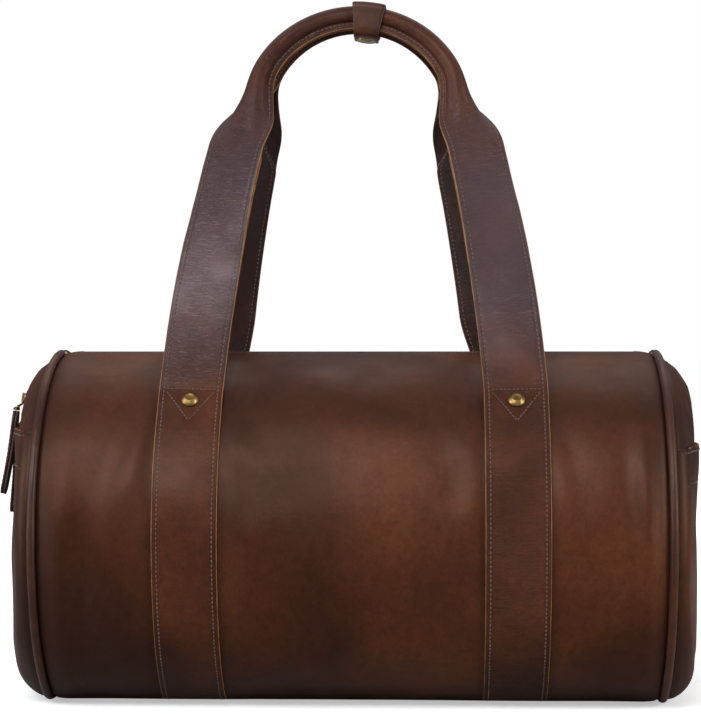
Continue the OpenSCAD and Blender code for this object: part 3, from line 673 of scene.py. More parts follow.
def build_panel(side, label):
    start = SEAM_X + PIPE_R - 1.5
    o = dish(label + "_end_leather", FACE, CORNER_R, R, start, [BODY, RAW], side)
    cut_for_zip(o, SLOT, ZIP_END - 3)
    v = coords(o)
    rr = np.hypot(v[:, 1], v[:, 2] - AXIS)
    behind_pocket = v[:, 2] < POCKET[side][1][2] - 4
    at_zip = (np.abs(v[:, 1]) < SLOT + 1.2) & (v[:, 2] > ZIP_END - 6)
    rest, v = puff(o, (rr > R - 9) | at_zip | (v[:, 2] < 2), 3.0, 1.6)
    free = smooth01(4, 26, R - rr) * smooth01(SLOT + 1, SLOT + 16, np.abs(v[:, 1]))
    v[:, 0] += side * np.where(behind_pocket, -0.3, 0.7 * field(rest, 120, 5) * free)
    v[:, 2] = np.maximum(v[:, 2], FLOOR)
    set_coords(o, v)
    # painted shade: darker towards the seam and near the floor
    paint_shade_and_wear(o, np.maximum(smooth01(R - 14, R - 2, rr), 0.5 * (1 - smooth01(0, 20, v[:, 2]))))
    thicken(o, SHEET_T, 1)
    finish_piece(o, "bag", [label + "_end_panel"])
    sizes = (a - 2.2 for a in (FACE, CORNER_R, R))
    cloth = dish(label + "_end_cloth", *sizes, start + 2, [LINING, LINING], side)
    cut_for_zip(cloth, 17, ZIP_END - 5)
    thicken(cloth, 0.8, 1)
    finish_piece(cloth, "bag", [label + "_end_lining"])


def build_pocket(side, label):
    lo, hi = POCKET[side]
    outer, rim = max(abs(lo[0]), abs(hi[0])), hi[2]
    hem = rim - 25
    corner, rad = CORNER_R + (outer - FACE) - 2.1, R + 1.0
    start = SEAM_X + PIPE_R - 1.2
    o = dish(label + "_pocket_leather", outer, corner, rad, start, [BODY, RAW], side, tuck=1.6)
    cut_sheet(o, [((0, 0, rim), (0, 0, 1))], lambda c: c[2] > rim)
    v = coords(o)
    rr = np.hypot(v[:, 1], v[:, 2] - AXIS)
    # the mouth stands a little closer at its ends, bellies out lower down and dips along the hem
    give = -1.5 * smooth01(70, rim, v[:, 2]) + 0.8 * np.exp(-((v[:, 2] - 110) / 45) ** 2)
    give += 0.5 * field(v, 90, 8 + side) - 0.5 * np.exp(-((v[:, 2] - hem) / 2.2) ** 2)
    v[:, 0] += side * smooth01(3, 40, R - rr) * give
    set_coords(o, v)
    # painted shade: darker towards the seam and in the dip along the hem
    paint_shade_and_wear(o, np.maximum(smooth01(R - 12, R - 1, rr), 0.6 * np.exp(-((v[:, 2] - hem) / 2.5) ** 2)))
    bag = Bag()
    for z in (hem, rim - 3.0):
        y = np.linspace(-1, 1, 161) * math.sqrt((R - 5) ** 2 - (z - AXIS) ** 2)
        x = v[[np.argmin((v[:, 1] - a) ** 2 + (v[:, 2] - z) ** 2) for a in y], 0]
        x[4:-4] = np.convolve(x, np.ones(9) / 9, "valid")
        r = np.hypot(y, z - AXIS)
        a = np.arcsin(np.clip((r - (rad - corner)) / corner, 0, 1))
        nor = np.stack([side * np.cos(a), y / r * np.sin(a), (z - AXIS) / r * np.sin(a)], -1)
        add_stitches(bag, np.stack([x, y, 0 * y + z], -1), nor, 0, lift=0.12)
    thicken(o, SHEET_T, 1)
    finish_piece(o, "bag", [label + "_pocket"])
    strip = dish(label + "_pocket_band", outer - 2, corner - 2, rad - 2, start + 1.6, [FLESH, RAW], side)
    low, high = hem - 1, rim - 0.5
    planes = [((0, 0, z), (0, 0, 1)) for z in (high, low)]
    cut_sheet(strip, planes, lambda c: c[2] > high or c[2] < low)
    w = coords(strip)
    reach = smooth01(3, 40, R - np.hypot(w[:, 1], w[:, 2] - AXIS))
    w[:, 0] -= side * reach * (1.5 * smooth01(70, rim, w[:, 2]) + 0.3)
    set_coords(strip, w)
    thicken(strip, 1.0, 1)
    finish_piece(strip, "bag", [label + "_pocket_facing"])
    finish_piece(bag.build(label + "_pocket_stitching", [THREAD]), "bag")


def sweep(bag, path, across, normal, section, mat):
    """Sweeps a closed section [(across, normal)] along a path. mat is one slot, or one for each side."""
    path, across, normal = (np.asarray(a, float) for a in (path, across, normal))
    s = np.asarray(section, float)
    if s.ndim == 2:
        s = np.repeat(s[None], len(path), 0)
    v = path[:, None] + s[:, :, :1] * across[:, None] + s[:, :, 1:] * normal[:, None]
    m, n = len(path), s.shape[1]
    mats = mat if isinstance(mat, int) else mat * (m - 1) + [mat[0]] * 2
    bag.add(v, tube_faces(m, n), mats, grid_uv(run_length(path), s[:, :, 0]))


def build_piping(side, label):
    bag = Bag()
    half = 8.0 / PIPE_RAD
    a = np.linspace(half, 2 * np.pi - half, 420)
    wave = 0.25 * np.sin(a * 23 + side) + 0.15 * np.sin(a * 57)
    y, z = sag(PIPE_RAD * np.sin(a), AXIS + PIPE_RAD * np.cos(a))
    path = np.stack([side * (SEAM_X + 0 * a), y, floor_map(z, PIPE_R * 1.02, 2.6, 18.0)], -1)
    across = np.tile([side * 1.0, 0, 0], (len(a), 1))
    nor = unit(np.cross(across, np.gradient(path, axis=0)))
    nor *= np.sign((nor * np.stack([a * 0, np.sin(a), np.cos(a)], -1)).sum(1, keepdims=True))
    t = np.arange(16) / 16 * 2 * np.pi
    ring = (PIPE_R + 0.1) * np.stack([np.cos(t), np.sin(t)], -1)
    sec = ring[::side] * (1 + 0.035 * wave[:, None, None])
    sweep(bag, path + nor * (0.12 * wave[:, None]), across, nor, sec, 0)
    o = bag.build(label + "_piping_roll", [TRIM])
    v = coords(o)
    v[:, 2] = np.maximum(v[:, 2], 0.2)
    set_coords(o, v)
    paint_shade_and_wear(o, 0.1)
    finish_piece(o, "bag", [label + "_piping"])


# ---------- straps and handles ----------
LEG_R = LEG_H / (math.sin(math.radians(SPLAY_TOP)) - math.sin(math.radians(SPLAY_BASE)))
LEG_L = LEG_R * math.radians(SPLAY_TOP - SPLAY_BASE)
HALF_L = LEG_L + ARCH_R * math.radians(90 - SPLAY_TOP)
ARCH_W = LEG_H - ARCH_R * math.sin(math.radians(SPLAY_TOP))
GRIP_TOP = box_mm("rear_handle_core")[1][2] - 4.0
LEAN = math.acos((GRIP_TOP - FOLD_Z) / (ARCH_W + ARCH_R))
ROLL_FROM, ROLL_TO = LEG_L - 50, LEG_L + 12
ROLL_TURN, FLANGE_TURN = math.radians(169), math.radians(90)
ROLL_HALF = GRIP_R * ROLL_TURN
# spacing of the stations along a strap; how far each leg of a handle hangs inwards (left, right)
STEP = 2.2
HANG = {-1: (0.0, 0.0), 1: (4.0, 9.0)}


def leg_line(d):
    """Centre line of the left half of a handle in its leaning plane, and its slope."""
    e = np.minimum(d, 2 * HALF_L - d)
    leg = np.minimum(e, LEG_L)
    a = np.radians(SPLAY_BASE + (SPLAY_TOP - SPLAY_BASE) * leg / LEG_L)
    a0 = math.radians(SPLAY_BASE)
    x = -STRAP_X + LEG_R * (math.cos(a0) - np.cos(a))
    w = LEG_R * (np.sin(a) - math.sin(a0))
    b = math.radians(SPLAY_TOP) + np.maximum(e - LEG_L, 0) / ARCH_R
    arch = e > LEG_L
    x = np.where(arch, -ARCH_R * np.cos(b), x)
    w = np.where(arch, ARCH_W + ARCH_R * np.sin(b), w)
    ang = np.where(arch, b, a)
    return x, w, ang


def curl(t, roll):
    """Cross-section of the strap as it rolls up: position and outward direction."""
    k = roll * ROLL_TURN / ROLL_HALF
    a = np.minimum(np.abs(t), ROLL_HALF)
    rest = np.abs(t) - a
    turn = k * a
    fl = roll * FLANGE_TURN
    safe = np.maximum(turn, 1e-6)
    w = np.where(turn < 1e-3, a, a * np.sin(safe) / safe)
    n = np.where(turn < 1e-3, 0, -a * (1 - np.cos(safe)) / safe)
    pos = np.stack([np.sign(t) * (w + rest * np.cos(fl)), n - rest * np.sin(fl)], -1)
    f = smooth01(ROLL_HALF - 1.2, ROLL_HALF + 1.2, np.abs(t))
    ang = (roll * ROLL_TURN * a / ROLL_HALF) * (1 - f) + fl * f
    return pos, np.stack([np.sign(t) * np.sin(ang), np.cos(ang)], -1)


def strap_path():
    """Stations along a whole handle strap, floor to floor: q, base point, width way, outward, roll."""
    r = R + 2.2
    g = np.arange(-310.0, 0.0, STEP)
    g = g[ATTACH + g / (r - 1.0) > -math.pi / 2]
    leg = np.concatenate([np.arange(0.0, HALF_L, STEP), [HALF_L]])
    q = np.concatenate([[-(ATTACH + math.pi / 2) * (r - 1.0)], g, leg])
    th = ATTACH + q / (r - 1.0)
    yg, zg = sag(-r * np.cos(th), AXIS + r * np.sin(th))
    zg = floor_map(zg, 2.2)
    x, w, ang = leg_line(np.maximum(q, 0))
    yl = -FOLD_Y + w * math.sin(LEAN)
    zl = FOLD_Z + w * math.cos(LEAN)
    up = q > 0
    base = np.stack([np.where(up, x, -STRAP_X), np.where(up, yl, yg), np.where(up, zl, zg)], -1)
    ev = smooth01(ROLL_FROM + 2, ROLL_TO + 8, q)
    tw = np.radians(22 * smooth01(40, 170, q) + 68 * smooth01(ROLL_FROM + 30, ROLL_TO + 14, q))
    front = np.array([0, -math.cos(LEAN), math.sin(LEAN)])
    # across the strap, in the leaning plane, square to the line
    tan = np.stack([np.sin(ang), np.cos(ang) * math.sin(LEAN), np.cos(ang) * math.cos(LEAN)], -1)
    inw = unit(np.cross(tan, front[None]))
    inw *= np.sign(inw[:, :1] + 1e-9)
    side = inw * np.cos(tw)[:, None] + front[None] * np.sin(tw)[:, None]
    out = front[None] * np.cos(tw)[:, None] - inw * np.sin(tw)[:, None]
    slope = np.gradient(np.stack([yg, zg], -1), axis=0)
    gn = unit(np.stack([q * 0, -slope[:, 1], slope[:, 0]], -1))
    gn[q > -4] = np.stack([q * 0, -np.cos(th), np.sin(th)], -1)[q > -4]
    side = np.where(up[:, None], side, np.array([1.0, 0, 0]))
    out = np.where(up[:, None], out, gn)
    # soften the bend at the fold line
    k = np.exp(-0.5 * (np.arange(-9, 10) * STEP / 5.0) ** 2)
    k /= k.sum()
    for arr in (base, side, out):
        pad = np.concatenate([arr[:1].repeat(9, 0), arr, arr[-1:].repeat(9, 0)])
        sm = np.stack([np.convolve(pad[:, c], k, "valid") for c in range(3)], -1)
        near = (np.abs(q) < 34)[:, None]
        arr[:] = np.where(near, sm, arr)
    out = unit(out - side * (out * side).sum(1, keepdims=True))
    side = unit(side)
    lift = -1.1 + 2.15 * smooth01(-26, -2, q)
    mid = (1 - ev) * lift + ev * GRIP_R
    return q, base, side, out, ev, mid


def band_slots(n, top, bottom):
    """Material slots round a band of n points on each face; slot 1 is its cut edge."""
    strip = [top] * (n - 1) + [1] + [bottom] * (n - 1) + [1]
    strip[0] = strip[n - 2] = 1
    return strip


def mirror_y(o):
    v = coords(o)
    v[:, 1] *= -1
    set_coords(o, v)
    o.data.flip_normals()


def build_handle(y_side, label, body):
    q, base, side, out, ev, mid = strap_path()
    slump = smooth01(4, 60, q) * (1 - smooth01(ROLL_FROM - 20, ROLL_TO + 10, q))
    hang = HANG[y_side]
    half_w = STRAP_W / 2
    edge = np.array([16.8, 17.8, 18.6, 19.4, 20.6, 21.6, 22.0])
    t = np.concatenate([-edge[::-1], np.linspace(-16.2, 16.2, 35), edge]) * half_w / edge[-1]
    n = len(t)
    edge_in = half_w - np.abs(t)
    thick = (STRAP_T / 2) * (1 - 0.45 * (1 - smooth01(0, 1.3, edge_in)))
    groove = 0.22 * np.exp(-((edge_in - ROW_IN) / 0.9) ** 2)
    rows = []
    for roll, height in zip(ev, mid):
        pos, o = curl(t, roll)
        pillow = 0.25 * (1 - roll) * (1 - (t / half_w) ** 2)
        top = pos + o * (thick - groove + pillow)[:, None]
        bot = pos - o * thick[:, None]
        rows.append(np.concatenate([top, bot[::-1]]) + [0, height])
    sec = np.array(rows)
    left = base[:, None] + sec[:, :, :1] * side[:, None] + sec[:, :, 1:] * out[:, None]
    wave = 0.315 * field(left.reshape(-1, 3), 60, 21 + y_side).reshape(left.shape[:2])
    left = left + out[:, None] * (wave * ((1 - ev) * smooth01(6, 30, q))[:, None])[:, :, None]
    right = left[:-1][::-1] * [-1, 1, 1]
    left[:, :, 0] += hang[0] * slump[:, None]
    right[:, :, 0] -= hang[1] * slump[:-1][::-1][:, None]
    allv = np.concatenate([left, right])
    # a little difference between the two sides
    both_q, both_ev = (np.concatenate([a, a[:-1][::-1]]) for a in (q, ev))
    both_out = np.concatenate([out, out[:-1][::-1] * [-1, 1, 1]])
    jitter = 0.5 * field(allv.reshape(-1, 3), 110, 31 + y_side).reshape(allv.shape[:2])
    jitter *= ((1 - both_ev) * smooth01(6, 40, both_q))[:, None]
    allv = allv + both_out[:, None] * jitter[:, :, None]
    m, nn = allv.shape[:2]
    along = np.concatenate([q, 2 * HALF_L - q[:-1][::-1]])
    bag = Bag()
    bag.add(allv, tube_faces(m, nn), band_slots(n, 0, 2) * (m - 1) + [1, 1],
            grid_uv(along, np.concatenate([t, t[::-1]])))
    # stitching along both edges, all the way over the grip
    for sign in (-1, 1):
        j = int(np.argmin(np.abs(t - sign * (half_w - ROW_IN))))
        add_stitches(bag, allv[:, j], unit(allv[:, j] - allv[:, nn - 1 - j]), 3, lift=0.16)
    stitch_marks(bag, allv, q, t)
    o = bag.build(label + "_strap_leather", [STRAP, RAW, FLESH, THREAD])
    v = coords(o)
    v[:, 2] = np.maximum(v[:, 2], 0.05)
    set_coords(o, v)
    if y_side > 0:
        mirror_y(o)
    shade_and_wear = np.zeros(len(v))
    shade_and_wear[:m * nn] = np.tile(0.5 * np.exp(-(np.maximum(np.tile(edge_in, 2) - 1, 0) / 2.2) ** 2), m)
    paint_shade_and_wear(o, shade_and_wear)
    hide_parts(label + "_leather", *(["girth_strap_left", "girth_strap_right"] if y_side < 0 else []))
    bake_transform(o)
    build_backing(y_side, label, body, q, base, side, out, slump)


def stitch_marks(bag, allv, q, t):
    """The row across each strap at its fold line and the V below it."""
    def surf(qi, ti):
        i, j = np.interp(qi, q, np.arange(len(q))), np.interp(ti, t, np.arange(len(t)))
        i0, j0 = int(i), int(j)
        i1, j1 = min(i0 + 1, len(q) - 1), min(j0 + 1, len(t) - 1)
        a, b = i - i0, j - j0
        top = ((1 - a) * (1 - b) * allv[i0, j0] + a * (1 - b) * allv[i1, j0]
               + (1 - a) * b * allv[i0, j1] + a * b * allv[i1, j1])
        return top, unit(allv[i0, j0] - allv[i0, -1 - j0])

    w = STRAP_W / 2 - ROW_IN
    row, v_top, v_deep = -1.5, -3.5, 24.5
    lines = [[(row, x) for x in np.linspace(-w, w, 30)]]
    for sign in (-1, 1):
        lines.append([(v_top - v_deep * k, sign * w * 0.9 * (1 - k)) for k in np.linspace(0, 1, 24)])
    for line in lines:
        pts, nor = (np.array(a) for a in zip(*[surf(*p) for p in line]))
        for flip in (1, -1):
            m = np.array([flip, 1, 1])
            add_stitches(bag, (pts * m)[::flip], (nor * m)[::flip], 3, length=2.2, gap=0.7, lift=0.22)


def build_backing(y_side, label, body, q, base, side, out, slump):
    """The second leather under each leg of a handle, tapering off where the grip begins."""
    keep = (q > 2.5) & (q < ROLL_FROM + 14)
    q, b, s, o, slump = (a[keep] for a in (q, base, side, out, slump))
    taper = 1 - 0.5 * smooth01(ROLL_FROM - 6, ROLL_FROM + 14, q)
    hw = STRAP_W / 2 - 0.2
    t = np.array([-1, -0.985, -0.94, -0.85, -0.5, 0, 0.5, 0.85, 0.94, 0.985, 1.0]) * hw
    rnd = 0.95 * (1 - 0.4 * (1 - smooth01(0, 1.2, hw - np.abs(t))))
    sec = np.array([np.concatenate([np.stack([t * w, -1.02 + rnd], -1),
                                    np.stack([t[::-1] * w, -1.02 - rnd[::-1]], -1)]) for w in taper])
    n = len(t)
    strip = band_slots(n, 2, 0)
    strip[n] = strip[2 * n - 2] = 1
    pos = b[:, None] + sec[:, :, :1] * s[:, None] + sec[:, :, 1:] * o[:, None]
    bag = Bag()
    for flip, give in zip((1, -1), HANG[y_side]):
        m = np.array([flip, 1, 1])
        move = (flip * give * slump)[:, None] * np.array([1.0, 0, 0])
        p = (pos * m + move[:, None])[:, ::flip]
        st = strip if flip > 0 else (strip[:-1][::-1] + strip[-1:])
        bag.add(p, tube_faces(len(p), 2 * n), st * (len(p) - 1) + [1, 1],
                grid_uv(q, np.concatenate([t, t[::-1]])))
        for sign in (-1, 1):
            line = move + m * (b + s * (sign * (STRAP_W / 2 - ROW_IN) * taper[:, None]) - 1.97 * o)
            add_stitches(bag, line, -o * m, 3, lift=0.05)
    under = bag.build(label + "_under_leather", [FLESH, RAW, FLESH, THREAD])
    if y_side > 0:
        mirror_y(under)
    paint_shade_and_wear(under, 0.0)
    finish_piece(under, body, [label + "_backing"])


# ---------- keeper ----------
KJ = joint("keeper_flap_open")
K_POS = np.array(KJ["pos_m"]) / MM
K_TURN = -math.atan2(KJ["axis"][2], KJ["axis"][0])
K_R = ARCH_R + 1.5
K_Z = GRIP_TOP - K_R
K_W = 22.0


def keeper_point(u, y, s):
    """A point on the keeper: u up from the grips' middle, y, and s along the grips."""
    a = K_TURN + s / K_R
    return np.array([(K_R + u) * math.sin(a), y, K_Z + (K_R + u) * math.cos(a)])


def round_path(corners, radius, step=0.8):
    """A polyline through corners with rounded turns, evenly spaced."""
    pts = [np.array(corners[0], float)]
    for i in range(1, len(corners) - 1):
        p, a, b = (np.array(c, float) for c in (corners[i], corners[i - 1], corners[i + 1]))
        da, db = (a - p), (b - p)
        r = min(radius, np.linalg.norm(da) * 0.49, np.linalg.norm(db) * 0.49)
        s, e = p + unit(da) * r, p + unit(db) * r
        for k in np.linspace(0, 1, 10):
            pts.append((1 - k) ** 2 * s + 2 * k * (1 - k) * p + k * k * e)
    pts.append(np.array(corners[-1], float))
    pts = np.array(pts)
    d = run_length(pts)
    s = np.append(np.arange(0, d[-1], step), d[-1])
    return np.stack([np.interp(s, d, pts[:, k]) for k in range(pts.shape[1])], -1)


def keeper_band(name, corners, node, half_w=K_W / 2, thick=2.0):
    """A leather band: corners are (y, u) on its outer face, listed front way round."""
    path = round_path(corners, 7.0)
    tan = unit(np.gradient(path, axis=0))
    nor = np.stack([tan[:, 1], -tan[:, 0]], -1)
    centre = np.array([0.0, -2.5])
    nor *= np.sign(((path - centre) * nor).sum(1).mean())
    s = np.array([-1, -0.97, -0.9, -0.8, -0.7, -0.4, 0, 0.4, 0.7, 0.8, 0.9, 0.97, 1]) * half_w
    full = 1 - 0.3 * (1 - smooth01(0, 0.8, half_w - np.abs(s)))
    rows = []
    for p, out in zip(path, nor):
        ring = list(zip(s, (1 - full) * thick)) + list(zip(s[::-1], (full * thick)[::-1]))
        rows.append([keeper_point(p[1] - out[1] * deep, p[0] - out[0] * deep, si) for si, deep in ring])
    v = np.array(rows)
    m, n = len(v), len(s)
    bag = Bag()
    bag.add(v, tube_faces(m, 2 * n), band_slots(n, 0, 2) * (m - 1) + [1, 1],
            grid_uv(run_length(path), np.concatenate([s, s[::-1]])))
    o = bag.build(name, [TRIM, DARK_EDGE, FLESH])
    fix_normals(o)
    paint_shade_and_wear(o, 0.0)
    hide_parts(node)
    return o


def build_keeper():
    # heights above the middle of the grips
    top, low = 9.1, -14.2
    y0 = K_POS[1]
    wall, front = box_mm("keeper_wrap")[1][1], box_mm("keeper_flap")[0][1]
    wrap = keeper_band("keeper_band", [(y0 + 0.4, top), (wall, top), (wall, low), (-4, low)], "keeper_wrap")
    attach(wrap, "rear_handle")
    low -= 2.2
    outline = [(y0 + 0.2, top), (front, top), (front, low), (10, low)]
    flap = keeper_band("keeper_strap", outline, "keeper_flap")
    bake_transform(flap)


# ---------- turned metal ----------
def lathe(bag, profile, origin, axis, sides=32):
    """Turns a profile of (radius, height) about an axis."""
    axis = unit(np.asarray(axis, float))
    ref = np.array([1.0, 0, 0]) if abs(axis[0]) < 0.9 else np.array([0, 1.0, 0])
    u = unit(np.cross(axis, ref))
    w = np.cross(axis, u)
    a = np.arange(sides) / sides * 2 * np.pi
    v = []
    for r, h in profile:
        v += [origin + axis * h + r * (np.cos(k) * u + np.sin(k) * w) for k in a]
    bag.add(v, tube_faces(len(profile), sides), 0)


def finish_metal(bag, name, mat, body, node):
    o = bag.build(name, [mat])
    fix_normals(o)
    finish_piece(o, body, [node])


def build_rivets():
    """Low caps with a ring round a flat middle, one on each strap below its fold."""
    bag = Bag()
    q, base, _, out, _, mid = strap_path()
    i = int(np.argmin(np.abs(q + 10.5)))
    p = base[i] + out[i] * (mid[i] + STRAP_T / 2 + 0.45)
    profile = [(0.055, 2.43), (2.64, 2.4), (2.97, 2.58), (3.41, 2.58), (3.74, 2.25), (4.84, 1.65),
               (5.61, 0.93), (5.995, 0.15), (6.05, -0.45), (5.72, -0.9), (0.055, -0.9)]
    for sx in (-1, 1):
        for sy in (-1, 1):
            lathe(bag, profile, p * [-sx, -sy, 1], out[i] * [1, -sy, 1])
    finish_metal(bag, "rivet_domes", BRASS, "bag", "strap_rivet_caps")


def build_snap():
    lo, hi = box_mm("snap_cap")
    r = (hi[1] - lo[1]) / 2
    dome = [(0.05, 1.9), (r * 0.4, 1.85), (r * 0.7, 1.6), (r * 0.9, 1.1), (r * 0.985, 0.55), (r, 0.1),
            (r * 0.97, -0.25), (0.05, -0.3)]
    bag = Bag()
    down = np.array([-math.sin(K_TURN), 0, -math.cos(K_TURN)])
    lathe(bag, dome, keeper_point(-16.35, (lo[1] + hi[1]) / 2, 0), down, sides=48)
    finish_metal(bag, "snap_dome", PALE, "keeper_flap", "snap_cap")


# ---------- zip ----------
def zip_frame(s):
    """Point, along, outward on the zip at s from the bag's middle, at the leather's outer level."""
    d = abs(s)
    sg = 1 if s >= 0 else -1
    arc = CORNER_R * math.pi / 2
    if d < CORNER_X:
        return np.array([s, 0, TOP]), np.array([1.0, 0, 0]), np.array([0, 0, 1.0])
    if d < CORNER_X + arc:
        a = (d - CORNER_X) / CORNER_R
        n = np.array([sg * math.sin(a), 0, math.cos(a)])
        p = np.array([sg * CORNER_X, 0, CORNER_Z]) + n * CORNER_R
        return p, np.array([math.cos(a), 0, -sg * math.sin(a)]), n
    z = CORNER_Z - (d - CORNER_X - arc)
    return np.array([sg * FACE, 0, z]), np.array([0, 0, -sg * 1.0]), np.array([sg * 1.0, 0, 0])


def build_zip():
    """Two rows of rounded teeth, the second half a pitch on from the first."""
    run = CORNER_X + CORNER_R * math.pi / 2 + CORNER_Z - ZIP_END - 3
    pitch, half_long, half_high, sunk = 2.9, 1.05, 1.5, 1.25
    count = int(run / pitch) - 1
    # an octagon in the tooth's own section, then (distance from the middle, size) along the tooth
    octagon = [(-1, 0.35), (-0.7, 1), (0.7, 1), (1, 0.35), (1, -0.35), (0.7, -1), (-0.7, -1), (-1, -0.35)]
    stations = [(0.32, 0.72), (0.7, 1.0), (1.9, 1.0), (2.3, 0.82), (3.2, 0.8), (3.38, 0.6)]
    for side, name in ((-1, "front"), (1, "rear")):
        bag = Bag()
        for i in range(-count, count + 1):
            p, t, n = zip_frame(i * pitch + side * pitch / 4)
            p = p - n * sunk
            v = [p + np.array([0, side * y, 0]) + t * a * half_long * size + n * b * half_high * size
                 for y, size in stations for a, b in octagon]
            bag.add(v, tube_faces(len(stations), len(octagon)), 0)
        finish_metal(bag, "zip_chain_" + name, ZIPM, "bag", "zip_teeth_" + name)


def build_pull(node):
    """A folded leather pull: two plies hanging from a loop round the wire link."""
    p = np.array(joint(node + "_swing")["pos_m"]) / MM
    lo, hi = box_mm(node)
    half_w, fall = (hi[1] - lo[1]) / 2, p[2] - lo[2]
    lean = math.asin(np.clip((p[0] - lo[0] - 2.2) / fall, 0, 0.9))
    length = fall / math.cos(lean) - 0.4
    down = np.array([-math.sin(lean), 0, -math.cos(lean)])
    out = np.array([-math.cos(lean), 0, math.sin(lean)])
    d = np.linspace(1.2, length, 60)
    path = p + d[:, None] * down - 0.9 * np.sin(d / length * np.pi)[:, None] * out
    across = np.tile([0, 1.0, 0], (len(d), 1))
    nor = unit(np.cross(np.gradient(path, axis=0), across))
    nor *= np.sign((nor * out).sum(1, keepdims=True))
    ply, thick = 1.08, 0.98
    widths = (half_w - 0.15) * (1 - 0.55 * smooth01(length - 5.5, length, d) ** 2)
    widths *= 0.62 + 0.38 * smooth01(0.5, 9, d)
    t = np.array([-1, -0.94, -0.8, -0.4, 0, 0.4, 0.8, 0.94, 1])
    rnd = thick * (1 - 0.45 * (1 - smooth01(0, 0.14, 1 - np.abs(t))))
    bag = Bag()
    for off in (ply, -ply):
        sec = np.array([np.concatenate([np.stack([t * w, off + rnd], -1),
                                        np.stack([t[::-1] * w, off - rnd[::-1]], -1)]) for w in widths])
        sweep(bag, path, across, nor, sec, band_slots(len(t), 0, 0))
    a = np.linspace(-0.25, math.pi + 0.25, 22)
    loop = p + 1.35 * (np.cos(a)[:, None] * out - np.sin(a)[:, None] * down)
    flat = [(-2.3, 0.7), (2.3, 0.7), (2.3, -0.35), (-2.3, -0.35)]
    sweep(bag, loop, np.tile([0, 1.0, 0], (len(a), 1)), unit(loop - p), flat, 0)
    k = slice(8, -3)
    for sign in (-1, 1):
        row = path[k] + nor[k] * (ply + thick) + across[k] * (sign * (half_w - 2.2))
        add_stitches(bag, row, nor[k], 2, length=2.4, gap=0.9, r=0.3, lift=0.05)
    o = bag.build(node.replace("_", "_zip_") + "_leather", [TRIM, DARK_EDGE, THREAD])
    fix_normals(o)
    paint_shade_and_wear(o, 0.25)
    finish_piece(o, node, [node])


def dress_cad():
    """Materials and small bevels for the CAD pieces that stay."""
    looks = {
        "lining": LINING, "base_board": BOARD, "cord": CORD, "facing": TRIM, "zip_tape": TAPE,
        "stops": ZIPM, "rivet": BRASS, "core": CORD, "snap": PALE, "slider": BRASS, "puller": BRASS,
    }
    for name, o in frame["nodes"].items():
        if o.hide_render:
            continue
        mat = next((m for k, m in looks.items() if k in name), BODY)
        o.data.materials.clear()
        o.data.materials.append(mat)
        if name in ("upper_slider", "lower_slider"):
            m = o.modifiers.new("soft_edges", "BEVEL")
            m.width = 0.00025
            m.segments = 2
            m.limit_method = "ANGLE"


# ---------- stage ----------
def build_floor():
    """A pale floor with a painted glow seen only by the camera, weaker near the bag and white away from it;
    other rays see a greyer one.
    """
    far = 4000
    corners = [(-far, -far, 0), (far, -far, 0), (far, far, 0), (-far, far, 0)]
    n = Nodes("floor_paint")
    seen = n.add("ShaderNodeLightPath").outputs["Is Camera Ray"]
    n.set(Base_Color=n.mix(seen, (0.34, 0.34, 0.34), (0.9, 0.9, 0.9)), Roughness=0.75)
    reach = n.add("ShaderNodeVectorMath", operation="LENGTH")
    n.link(n.coord.outputs["Object"], reach.inputs[0])
    # painted glow: emission for camera rays only, weaker near the bag
    glow = n.ramp(n.math("DIVIDE", reach.outputs["Value"], 2.0), [(0.2, 0.45), (0.75, 1.0)])
    n.set(Emission_Color=(1, 1, 1), Emission_Strength=n.math("MULTIPLY", seen, glow), Specular_IOR_Level=0.05)
    make("floor", corners, [(0, 1, 2, 3)], [n.mat])


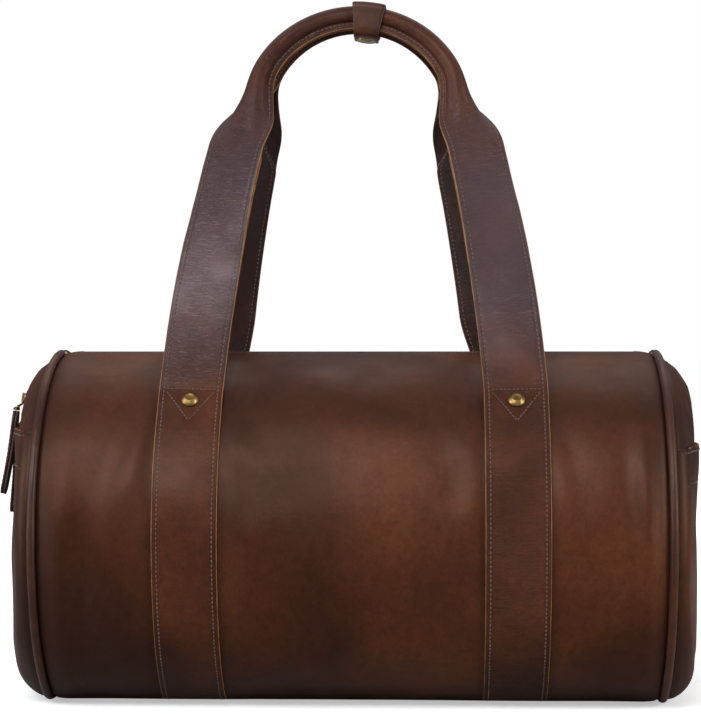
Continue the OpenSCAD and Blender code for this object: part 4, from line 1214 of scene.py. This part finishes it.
def build_world():
    """White behind the bag, dim to everything but the camera and dimmer low down."""
    w = bpy.data.worlds.new("studio")
    bpy.context.scene.world = w
    w.use_nodes = True
    t = w.node_tree
    split, fade, pick = (t.nodes.new("ShaderNode" + k) for k in ("SeparateXYZ", "MapRange", "Mix"))
    t.links.new(t.nodes.new("ShaderNodeTexCoord").outputs["Generated"], split.inputs[0])
    t.links.new(split.outputs["Z"], fade.inputs["Value"])
    for key, value in (("From Min", 0.0), ("From Max", 0.9), ("To Min", 0.1), ("To Max", 0.3)):
        fade.inputs[key].default_value = value
    t.links.new(t.nodes.new("ShaderNodeLightPath").outputs["Is Camera Ray"], pick.inputs[0])
    t.links.new(fade.outputs[0], pick.inputs[2])
    pick.inputs[3].default_value = 1.0
    back = t.nodes["Background"]
    back.inputs[0].default_value = (1, 1, 1, 1)
    t.links.new(pick.outputs[0], back.inputs[1])


def area(name, place, aim, size, power, colour=(1, 1, 1)):
    d = bpy.data.lights.new(name, "AREA")
    d.shape = "RECTANGLE"
    d.size, d.size_y = size
    d.energy = power
    d.color = colour
    o = bpy.data.objects.new(name, d)
    bpy.context.scene.collection.objects.link(o)
    o.location = place
    o.rotation_euler = (Vector(aim) - Vector(place)).to_track_quat("-Z", "Y").to_euler()


def build_camera():
    """A long lens just below the height of the barrel's top, turned slightly towards the right end."""
    distance, height, turn = 1.5, 0.2408, math.radians(2.0)
    cam = bpy.data.cameras.new("camera")
    cam.lens = 103.1
    cam.sensor_width = 36
    cam.shift_x = -0.0097
    o = bpy.data.objects.new("camera", cam)
    bpy.context.scene.collection.objects.link(o)
    o.location = (distance * math.sin(turn), -distance * math.cos(turn), height)
    o.rotation_euler = (math.pi / 2, 0, turn)
    bpy.context.scene.camera = o
    bpy.context.scene.view_settings.view_transform = "Standard"


build_body()
for end, end_name in ((-1, "left"), (1, "right")):
    build_panel(end, end_name)
    build_pocket(end, end_name)
    build_piping(end, end_name)
build_handle(-1, "front_handle", "front_handle")
build_handle(1, "rear_handle", "rear_handle")
build_keeper()
build_rivets()
build_snap()
build_zip()
build_pull("upper_pull")
build_pull("lower_pull")
dress_cad()
build_floor()
build_world()
area("key", (-0.6, -1.7, 1.6), (0, 0, 0.25), (1.5, 0.9), 37, (0.93, 0.96, 1.0))
area("fill", (2.0, -0.9, 0.8), (0, 0, 0.2), (0.8, 1.4), 30)
area("left", (-2.0, -0.7, 0.7), (0, 0, 0.2), (0.8, 1.4), 23, (0.95, 0.97, 1.0))
area("top", (0.1, 0.9, 2.0), (0, 0.1, 0.2), (2.2, 0.9), 9)
build_camera()
